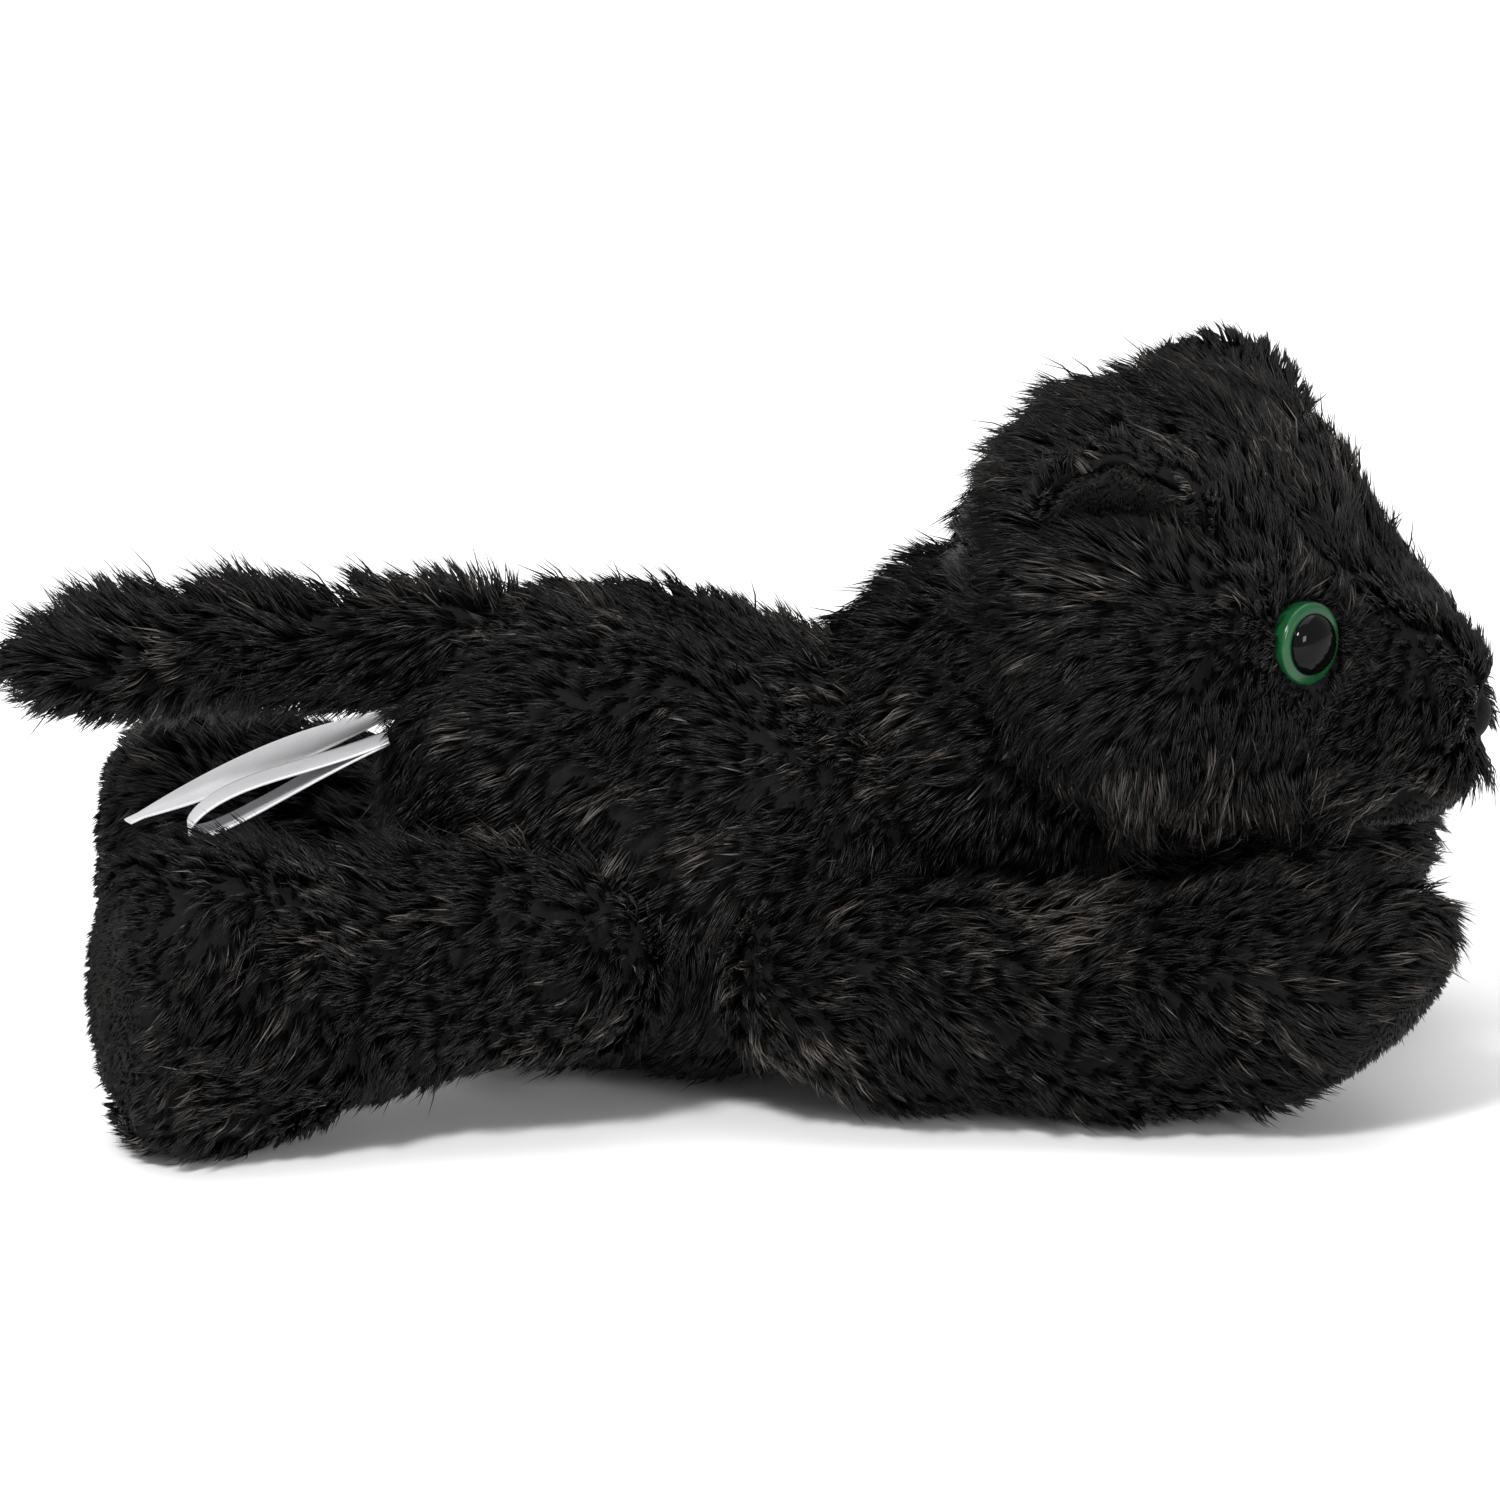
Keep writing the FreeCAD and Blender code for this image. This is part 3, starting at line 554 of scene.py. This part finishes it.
bump(head, (50, 16, 50), 8, 2.2)                    # the muzzle's cheeks
bump(head, (51, 21, 68.6), 6, -3.2)                 # the eyes' sockets
bump(head, (24, 36, 58), 12, 1.8)                   # the jowls
bump(head, (53, 0, 76), 8, -4.2, sides=(1,))        # the dip between brow and muzzle
FORMS = (torso, neck, head, *foreleg.values(), *hindleg.values(), tail_root, tail_tip)
for number, form in enumerate(FORMS):
    soften(form, 40 + number)

# name, form, body, the nodes it stands for, and how full it is stuffed
SKINS = [
    ("skin_torso", torso, "torso", ("torso_cover", "torso_stuffing", "pellet_bag"), 0.5),
    ("skin_neck", neck, "neck", ("neck_cover", "neck_stuffing"), 0.6),
    ("skin_head", head, "head", ("head_cover", "head_stuffing"), 0.85),
    ("skin_tail_root", tail_root, "tail_root", ("tail_root_cover", "tail_root_stuffing"), 0.6),
    ("skin_tail_tip", tail_tip, "tail_tip", ("tail_tip_cover", "tail_tip_stuffing"), 0.6),
]
for s, _ in SIDES:
    for kind, forms in (("foreleg", foreleg), ("hindleg", hindleg)):
        body = "%s_%s" % (kind, s)
        SKINS.append(("skin_" + body, forms[s], body, (body + "_cover", body + "_filling"), 0.6))
for name, form, body, nodes, fill in SKINS:
    piece = mesh_object(name, form.points, polygons_of(form.faces))
    dress(piece, SKIN, body, "black_fur", *nodes)

# ---------------------------------------------------------------- round parts: eyes and nose


def lathe(name, placed, profile, around=48):
    """Turns (radius, height) points about the local Z of placed = (turn, move)."""
    turn, move = placed
    points, polygons = [], []
    angle = np.linspace(0, 2 * math.pi, around, endpoint=False)
    for r, h in profile:
        points.append(np.stack([r * np.cos(angle), r * np.sin(angle), np.full(around, h)], -1))
    rows = len(profile)
    for i in range(rows - 1):
        for j in range(around):
            k = (j + 1) % around
            polygons.append((i * around + j, i * around + k, (i + 1) * around + k, (i + 1) * around + j))
    polygons.append(tuple(range(around))[::-1])
    polygons.append(tuple((rows - 1) * around + j for j in range(around)))
    return mesh_object(name, np.concatenate(points) @ turn.T + move, polygons)


def basis(normal, up=(0, 0, 1.0)):
    """A turn whose local Z is normal."""
    n = unit(np.asarray(normal, float))
    x = unit(np.cross(np.asarray(up, float), n))
    return np.stack([x, np.cross(n, x), n], 1)


def head_point(x, y, z):
    return np.array([x, y, z], float) @ HEAD[0].T + HEAD[1]


def in_head(p):
    return (p - HEAD[1]) @ HEAD[0]


EYE_X, EYE_Y, EYE_Z = 46.5, 23, 70.5
EYE_YAW, EYE_LIFT = 31, 0.02        # the eye's facing, in degrees from the nose and as a slope
EYE_SINK = 0.1
IRIS_PROFILE = [
    (1.5, -5), (5.2, -4), (5.8, -1.0), (5.95, 0.6), (5.93, 0.95), (5.8, 1.2), (5.55, 1.34), (5.2, 1.4),
    (4.5, 1.44), (3.0, 1.45), (0.6, 1.45),
]
PUPIL_PROFILE = [
    (4.2, 1.0), (4.45, 1.45), (4.4, 1.75), (4.2, 2.15), (3.8, 2.6), (3.2, 3.0), (2.4, 3.33), (1.4, 3.55),
    (0.5, 3.62),
]
EYES = {}
for s, k in SIDES:
    turn = math.radians(EYE_YAW * k)
    facing = np.array([math.cos(turn), math.sin(turn), EYE_LIFT]) @ HEAD[0].T
    centre = head_point(EYE_X, EYE_Y * k, EYE_Z)
    EYES[s] = (centre, unit(facing))
    placed = (basis(facing), centre - unit(facing) * EYE_SINK)
    iris = lathe("eye_iris_" + s, placed, IRIS_PROFILE)
    dress(iris, IRIS, "head", "eye_green", "eye_iris_" + s)
    pupil = lathe("eye_pupil_" + s, placed, PUPIL_PROFILE)
    dress(pupil, PUPIL, "head", "eye_black", "eye_pupil_" + s)

NOSE_X = 61.5
nose_form = Form((HEAD[0], head_point(NOSE_X, 0, 0)), [
    (-1, 0, 0, 54.5), (0.5, 4.6, 2.8, 54.6), (2.5, 6.2, 3.9, 54.9), (4.5, 5.9, 3.7, 55.2),
    (6.3, 4.0, 2.6, 55.6), (7.3, 0, 0, 55.7),
], rings=24, around=36)
nose = mesh_object("nose", nose_form.points, polygons_of(nose_form.faces))
dress(nose, NOSE, "head", "nose", "nose")
for node in ("nose_washer", "eye_washer_r", "eye_washer_l"):
    washer = frame["nodes"][node].data
    washer.materials.clear()
    washer.materials.append(WASHER)

# ---------------------------------------------------------------- short-pile patches

PATCH_UNDER = 0.8        # a patch's underside lies this far inside its form
HEM_UNDER = 0.1          # and its hem this far


def patch(node, form, wanted, lift, body):
    """A velour patch laid on a form where wanted(local point, outward) holds."""
    normals = vertex_normals(form.points, triangles(form.faces))
    on = wanted(form.to_local(form.points), normals @ form.turn)
    quads, corners = (part[on[part].all(1)] for part in form.faces)
    used = np.unique(np.concatenate([quads.reshape(-1), corners.reshape(-1)]))
    count = len(used)
    index = np.full(len(form.points), -1)
    index[used] = np.arange(count)
    height = np.full(len(form.points), lift)
    height[list({v for edge in boundary(polygons_of((quads, corners))) for v in edge})] = -HEM_UNDER
    top = (form.points + normals * height[:, None])[used]
    bottom = (form.points - normals * PATCH_UNDER)[used]
    polygons = [[index[v] for v in face] for face in polygons_of((quads, corners))]
    under = [[count + v for v in face[::-1]] for face in polygons]
    walls = [[b, a, count + a, count + b] for a, b in boundary(polygons)]
    piece = mesh_object(node, np.concatenate([top, bottom]), polygons + under + walls)
    dress(piece, VELOUR, body, "black_velour", node)
    fuzz("fuzz_" + node, body, top, [index[quads], index[corners]])


def fuzz(name, body, points, faces):
    """The short pile of a velour face."""
    fur(name, body, points, faces, toward((-0.3, 0.1, -1.0)), flat_length(1.25), 60, clumps=1.7, hairs=4,
        lean=42.0, radius=0.1, swirl=0.8, coat=VELOUR_PILE, slot="black_velour")


def boundary(polygons):
    """The edges that only one polygon has."""
    edges = {}
    for face in polygons:
        for a, b in zip(face, [*face[1:], face[0]]):
            edges[(a, b)] = True
    return [e for e in edges if (e[1], e[0]) not in edges]


def mouth_area(local, out):
    """The muzzle's underside, below a line that falls toward the nose."""
    x, y, z = local.T
    return (x > 52) & (z < 50.5 - 0.12 * (x - 58)) & (np.abs(y) < 15)


SOLE_TILT = math.radians(52)        # how far the forepaw's sole leans back from upright
SOLE_OUT = np.array([math.cos(SOLE_TILT), 0, -math.sin(SOLE_TILT)])
SOLE_UP = np.array([math.sin(SOLE_TILT), 0, math.cos(SOLE_TILT)])
SOLE_CENTRE = np.array([72.5, 0, 20.0])
SOLE_HALF_HEIGHT, SOLE_HALF_WIDTH = 14.0, 12.0


def paw_sole(local, out):
    """An oval on the forepaw's end, facing forward and down."""
    rel = local - SOLE_CENTRE
    oval = (rel @ SOLE_UP / SOLE_HALF_HEIGHT) ** 2 + (rel[:, 1] / SOLE_HALF_WIDTH) ** 2
    return (oval < 1) & (rel @ SOLE_OUT > 0)


HIND_SOLE_X = 55          # the hind sole lies on the leg's end, beyond this
HIND_SOLE_SHARE = 0.8     # and covers this much of its width and height


def hind_sole(form):
    z = form.zc[-1]
    high = math.sqrt(form.h2.max()) * HIND_SOLE_SHARE
    wide = math.sqrt(form.w2.max()) * HIND_SOLE_SHARE

    def area(local, out):
        inside = (local[:, 1] / wide) ** 2 + ((local[:, 2] - z) / high) ** 2 < 1
        return (local[:, 0] > HIND_SOLE_X) & inside
    return area


patch("mouth_patch", head, mouth_area, 0.9, "head")
for s, _ in SIDES:
    patch("foreleg_%s_sole" % s, foreleg[s], paw_sole, 1.1, "foreleg_" + s)
    patch("hindleg_%s_sole" % s, hindleg[s], hind_sole(hindleg[s]), 1.1, "hindleg_" + s)

# ---------------------------------------------------------------- ears

EAR_FOOT = (22.5, 31.5, 89.6)               # in the head's frame; Y is mirrored for the right ear
EAR_LEAN = 30.0                             # outward, in degrees
EAR_ROWS, EAR_COLUMNS = 18, 26
EAR_HALF_WIDTH, EAR_HEIGHT = 12.2, 11.6
EAR_ROOT, EAR_EXTRA = -3.0, 2.0             # where the leaf starts, and height it has whatever its scale
EAR_CUP = 3.4


def ear_grid(k, grow, depth):
    """Cupped leaf of the ear on side k: local X along its base, Z up its height."""
    v = np.linspace(0, 1, EAR_ROWS)[:, None]
    u = np.linspace(-1, 1, EAR_COLUMNS)[None]
    half = EAR_HALF_WIDTH * grow * np.sqrt(np.maximum(1 - (np.maximum(v - 0.1, 0) / 0.92) ** 2.4, 0.0))
    x = half * u
    z = EAR_ROOT + (EAR_HEIGHT * grow + EAR_EXTRA) * v + 0 * u
    cup = EAR_CUP * (1 - u * u) * (1 - 0.35 * v)
    y = k * (depth - cup + 0.9 * v * v)
    return np.stack([x, y, z], -1)


def ear_frame(k):
    """The ear's own turn and place on side k."""
    lean = math.radians(-k * EAR_LEAN)
    tilt = np.array([[1, 0, 0], [0, math.cos(lean), -math.sin(lean)], [0, math.sin(lean), math.cos(lean)]])
    return HEAD[0] @ tilt, head_point(EAR_FOOT[0], EAR_FOOT[1] * k, EAR_FOOT[2])


def shell(front, back):
    """A closed sheet between two grids of points."""
    rows, cols = front.shape[:2]
    points = np.concatenate([front.reshape(-1, 3), back.reshape(-1, 3)])
    n = rows * cols
    quads = []
    for i in range(rows - 1):
        for j in range(cols - 1):
            a = i * cols + j
            quads.append((a, a + 1, a + cols + 1, a + cols))
            quads.append((n + a, n + a + cols, n + a + cols + 1, n + a + 1))
    rim = [*range(cols)]
    rim += [i * cols + cols - 1 for i in range(1, rows)]
    rim += [(rows - 1) * cols + j for j in range(cols - 2, -1, -1)]
    rim += [i * cols for i in range(rows - 2, 0, -1)]
    for a, b in zip(rim, [*rim[1:], rim[0]]):
        quads.append((b, a, n + a, n + b))
    return points, np.array(quads)


def ear_leaf(name, s, k, grow, front, back, coat, slot):
    """One layer of the ear between two depths; gives its points and faces for the pile."""
    turn, move = ear_frame(k)
    points, quads = shell(ear_grid(k, grow, front), ear_grid(k, grow, back))
    if k > 0:
        quads = quads[:, ::-1]
    world = points @ turn.T + move
    dress(mesh_object(name + s, world, quads.tolist()), coat, "ear_" + s, slot, name + s)
    return world, [quads, np.zeros((0, 3), int)]


EAR_SHELLS = {}
for s, k in SIDES:
    EAR_SHELLS[s] = ear_leaf("ear_outer_", s, k, 1.0, 1.0, -2.2, SKIN, "black_fur")
    lining = ear_leaf("ear_lining_", s, k, 0.84, 2.0, 0.4, VELOUR, "black_velour")
    fuzz("fuzz_ear_" + s, "ear_" + s, *lining)

# ---------------------------------------------------------------- labels

LABEL_BACK = 0.8        # the strips start this far behind their hinges, clear of the cloth
LABEL_ACROSS = 13       # points across a strip


def ribbon(node, path, wide, thick, drop, twist):
    """A woven strip whose middle follows path in X and Z, laid across Y and twisted along its way."""
    y = joint_at(node + "_flap")[1]
    path = np.asarray(path, float)
    ahead = unit(np.gradient(path, axis=0))
    up = np.stack([-ahead[:, 1], ahead[:, 0]], 1)
    lift = np.array([math.sin(math.radians(drop)), math.cos(math.radians(drop))])
    across = np.linspace(-0.5, 0.5, LABEL_ACROSS)
    rows = len(path)
    top, bottom = [], []
    for side, store in ((0.5, top), (-0.5, bottom)):
        for i in range(rows):
            turn = math.radians(twist(i / (rows - 1)))
            for a in across:
                p = path[i] + up[i] * side * thick + lift * a * wide * math.sin(turn)
                store.append((p[0], y + a * wide * math.cos(turn), p[1]))
    shape = (rows, LABEL_ACROSS, 3)
    points, quads = shell(np.array(top).reshape(shape), np.array(bottom).reshape(shape))
    piece = mesh_object(node, points, quads.tolist())
    dress(piece, LABEL, node, "label_cloth", node)


def label_start(node):
    hinge_x, _, hinge_z = joint_at(node + "_flap")
    return hinge_x - LABEL_BACK, hinge_z


def label_path(node, length, drop, bend, count=40):
    """A strip that hangs back from its hinge, dropping by drop degrees and bending by bend on its way."""
    start_x, start_z = label_start(node)
    t = np.linspace(0, 1, count)
    angle = np.radians(drop + bend * (t - 0.5))
    step = length / (count - 1)
    x = start_x - np.concatenate([[0], np.cumsum(np.cos(angle[1:]) * step)])
    z = start_z - np.concatenate([[0], np.cumsum(np.sin(angle[1:]) * step)])
    return np.stack([x, z], 1)


def loop_path(node, length, drop, high, count=90):
    """A strip folded back on itself into a loop that is widest toward its far end."""
    start_x, start_z = label_start(node)
    t = np.linspace(0, 1, count)
    along = length * (0.5 - 0.5 * np.cos(2 * math.pi * t))
    gap = np.sin(2 * math.pi * t) * (0.35 + high / 2 * (along / length) ** 1.6)
    a = math.radians(drop)
    x = start_x - along * math.cos(a) + gap * math.sin(a)
    z = start_z - along * math.sin(a) + gap * math.cos(a)
    return np.stack([x, z], 1)


def brand_twist(t):
    """The single strip's sideways tilt in degrees: -13.5 at both ends and about 3 midway."""
    return 16.5 * math.sin(math.pi * min(1.0, t * 1.06)) ** 0.9 - 13.5


ribbon("brand_label", label_path("brand_label", 41, 23, 5), 16, 0.35, 23, brand_twist)
ribbon("care_label", loop_path("care_label", 31, 24, 9.6), 12, 0.3, 27, lambda t: -6.0)

# ---------------------------------------------------------------- fur on every form


def length_torso(p, n):
    """Shorter on the back, and shorter still underneath."""
    return 7.4 - 1.4 * np.clip(n[:, 2], 0, 1) - 3.0 * np.clip(-n[:, 2], 0, 1)


def comb_torso(p, n):
    """Backward, and downward on the flanks."""
    flow = np.tile(np.array([-1.0, 0, 0]), (len(p), 1))
    flow[:, 2] = -0.9 * (1 - np.clip(n[:, 2], 0, 1))
    return flow


def length_tail(p, n):
    return 7.8 - 2.6 * np.clip(-n[:, 2], 0, 1)


NOSE_TIP = np.array([66.5, 0, 55.5])


def comb_head(p, n):
    """Back from the face, down on the cheeks, away from the nose on the muzzle and away from the eyes."""
    q = in_head(p)
    flow = np.zeros_like(q)
    front = np.clip((q[:, 0] - 40) / 22, 0, 1)
    below = np.clip((74 - q[:, 2]) / 16, 0, 1)
    flow[:, 0] = 0.65 * below - 1.0
    flow[:, 2] = 0.25 * (q[:, 2] > 80) - 1.5 * below
    from_nose = unit(q - NOSE_TIP) - np.array([0, 0, 0.25])
    flow = unit(flow) * (1 - front)[:, None] + from_nose * front[:, None]
    flow = flow @ HEAD[0].T
    for centre, _ in EYES.values():
        away = p - centre
        near = np.exp(-(np.maximum(np.linalg.norm(away, axis=1) - 6, 0) / 3.5) ** 2)
        flow = flow * (1 - near)[:, None] + unit(away) * near[:, None]
    return flow


def length_head(p, n):
    """Shorter toward the nose and near the eyes, longer on the jowls."""
    q = in_head(p)
    value = 7.6 - 2.4 * np.clip((q[:, 0] - 22) / 30, 0, 1)
    value += 3.0 * np.clip((54 - q[:, 2]) / 10, 0, 1) * np.clip((q[:, 0] - 6) / 8, 0, 1)
    for centre, _ in EYES.values():
        away = np.linalg.norm(p - centre, axis=1)
        value = np.where(away < 12, np.minimum(value, 4.2 + 0.3 * (away - 6)), value)
    return np.maximum(value, 1.8)


def comb_leg(form):
    """Along the leg and a little downward on its sides."""
    def comb(p, n):
        flow = np.tile(form.turn[:, 0], (len(p), 1))
        flow[:, 2] -= 0.35 * (1 - np.abs(n[:, 2]))
        return flow
    return comb


def length_leg(form, full, short, sole):
    """Shorter pile underneath and in the seam round the sole."""
    def length(p, n):
        x = form.to_local(p)[:, 0]
        value = full - (full - 4.0) * np.clip(-n[:, 2], 0, 1) ** 0.7
        return value - (value - short) * np.clip((x - sole + 9) / 9, 0, 1)
    return length


def clear_of(*others):
    """Roots stay out of the other forms, apart from a margin that shows when a joint moves."""
    def keep(p, n):
        wanted = np.ones(len(p), bool)
        for other, margin in others:
            wanted &= other.depth(p) < margin
        return wanted
    return keep


def shade_head(p):
    """Painted light and shade on the head's hairs: all a little paler and the cheeks paler still as painted
    light, and darker at the temples behind the eyes as painted shade.
    """
    q = in_head(p)
    temple_painted_shade = np.exp(-((q[:, 0] - 27) / 15) ** 2 - ((q[:, 2] - 69) / 10) ** 2)
    cheek_painted_light = np.exp(-((q[:, 0] - 26) / 14) ** 2 - ((q[:, 2] - 50) / 8) ** 2)
    # Painted light: 0.08 over the whole head and up to 0.28 more on the cheeks; painted shade: up to 0.26
    # darker at the temples.
    return 0.08 + 0.28 * cheek_painted_light - 0.26 * temple_painted_shade


def eye_offsets(p):
    """For each eye: how far each point is from its axis, from its centre and along its axis."""
    for centre, facing in EYES.values():
        rel = p - centre
        along = rel @ facing
        yield np.linalg.norm(rel - facing * along[:, None], axis=1), np.linalg.norm(rel, axis=1), along


def keep_head(p, n):
    """Clear of the mouth patch, the neck's inside, the nose, the eyes and the ears' feet."""
    q = in_head(p)
    wanted = ~mouth_area(q, n) & (neck.depth(p) < 7)
    wanted &= ~((q[:, 0] > 62) & (np.abs(q[:, 1]) < 6.0) & (np.abs(q[:, 2] - 55) < 4.6))
    for radial, _, along in eye_offsets(p):
        wanted &= ~((radial < 5.8) & (np.abs(along) < 9))
    for _, k in SIDES:
        turn, move = ear_frame(k)
        e = (p - move) @ turn
        wanted &= ~((np.abs(e[:, 0]) < 10) & (k * e[:, 1] > -1) & (k * e[:, 1] < 3.5) & (e[:, 2] > -6))
    return wanted


def keep_eye_rims(p, n):
    """Short dense pile close round the eyes, where the long pile parts."""
    wanted = np.zeros(len(p), bool)
    for radial, away, _ in eye_offsets(p):
        wanted |= (radial < 11.5) & (away < 14)
    return wanted & keep_head(p, n)


def keep_leg(form, sole):
    """Clear of the torso, apart from a margin, and of the leg's own sole."""
    inside = clear_of((torso, 8))

    def keep(p, n):
        return inside(p, n) & ~sole(form.to_local(p), n @ form.turn)
    return keep


def keep_ear(k):
    """The face away from the velour, and the rim."""
    turn, move = ear_frame(k)

    def keep(p, n):
        q = (p - move) @ turn
        out = n @ turn
        rim = (np.abs(q[:, 0]) > 9.5) | (q[:, 2] > 11.5)
        return ((out[:, 1] * k < 0.2) | rim) & (q[:, 2] > -1)
    return keep


def comb_ear(k):
    """Up the ear and a little backward."""
    turn, _ = ear_frame(k)
    return lambda p, n: np.tile(turn[:, 2] - 0.5 * turn[:, 0], (len(p), 1))


def form_fur(body, form, comb, length, seed, **rest):
    """The pile of a body that is one whole form."""
    fur("fur_" + body, body, form.points, form.faces, comb, length, seed, **rest)


legs = [(form, 6) for form in (foreleg["r"], foreleg["l"], hindleg["r"], hindleg["l"])]
form_fur("torso", torso, comb_torso, length_torso, 1, lean=64, keep=clear_of((neck, 8), (head, 3), *legs))
form_fur("neck", neck, comb_torso, flat_length(7.2), 2, keep=clear_of((head, 5), (torso, 6)))
form_fur("head", head, comb_head, length_head, 3, keep=keep_head, clumps=0.47, lean=64, shade=shade_head)
fur("fur_eye_rims", "head", head.points, head.faces, comb_head, flat_length(3.4), 16, keep=keep_eye_rims,
    clumps=1.1, hairs=6, lean=66)
form_fur("tail_root", tail_root, toward((-1, 0, 0)), length_tail, 4,
         keep=clear_of((torso, 4), (tail_tip, 2.5)), clumps=0.5, lean=50)
form_fur("tail_tip", tail_tip, toward((-1, 0, -0.1)), length_tail, 5,
         keep=clear_of((tail_root, 2.5)), clumps=0.55, lean=50)
for s, k in SIDES:
    form = foreleg[s]
    # The forelegs' hairs are made paler by 0.12 as painted light.
    form_fur("foreleg_" + s, form, comb_leg(form), length_leg(form, 6.6, 5.0, 84), 10,
             keep=keep_leg(form, paw_sole), shade=lambda p: 0.12)
    form = hindleg[s]
    form_fur("hindleg_" + s, form, comb_leg(form), length_leg(form, 6.8, 2.6, 60), 12,
             keep=keep_leg(form, hind_sole(form)))
    fur("fur_ear_" + s, "ear_" + s, *EAR_SHELLS[s], comb_ear(k), flat_length(3.6), 14, keep=keep_ear(k),
        clumps=0.6, lean=56)

# ---------------------------------------------------------------- studio, in metres

FLOOR_HALF = 3000        # millimetres, as mesh_object takes
corners = [(-1, -1), (1, -1), (1, 1), (-1, 1)]
floor = mesh_object("floor", [(x * FLOOR_HALF, y * FLOOR_HALF, 0) for x, y in corners], [(0, 1, 2, 3)])
floor.data.materials.append(FLOOR)

world = bpy.data.worlds.new("studio")
bpy.context.scene.world = world
world.use_nodes = True
world.node_tree.nodes["Background"].inputs["Color"].default_value = (1.0, 1.0, 1.0, 1)
world.node_tree.nodes["Background"].inputs["Strength"].default_value = 0.6


def aimed(at, aim):
    """The turn of a lamp or a camera that stands at one place and looks at another."""
    return (Vector(aim) - Vector(at)).to_track_quat("-Z", "Y").to_euler()


def area_light(name, at, aim, side, power):
    data = bpy.data.lights.new(name, "AREA")
    data.shape = "RECTANGLE"
    data.size = data.size_y = side
    data.energy = power
    lamp = add_object(name, data)
    lamp.location = at
    lamp.rotation_euler = aimed(at, aim)


area_light("key", (-0.3, -0.9, 0.9), (0, 0, 0.04), 0.22, 14)
area_light("top", (0, 0.5, 2.2), (0, 0.2, 0), 2.4, 38)
area_light("side", (0.65, -1.0, 0.4), (0.05, 0, 0.05), 0.3, 5)

ELEVATION = math.radians(14.0)
DISTANCE = 2.5
WIDTH = 0.2143             # how much of the scene the picture spans at the target
TARGET = Vector((0, 0, 0.0468))
SENSOR = 36.0
camera_data = bpy.data.cameras.new("camera")
camera_data.sensor_width = SENSOR
camera_data.lens = SENSOR * DISTANCE / WIDTH
camera_data.clip_start = 0.1
camera = add_object("camera", camera_data)
camera.location = TARGET + Vector((0, -math.cos(ELEVATION), math.sin(ELEVATION))) * DISTANCE
camera.rotation_euler = aimed(camera.location, TARGET)
bpy.context.scene.camera = camera
bpy.context.scene.view_settings.view_transform = "Standard"
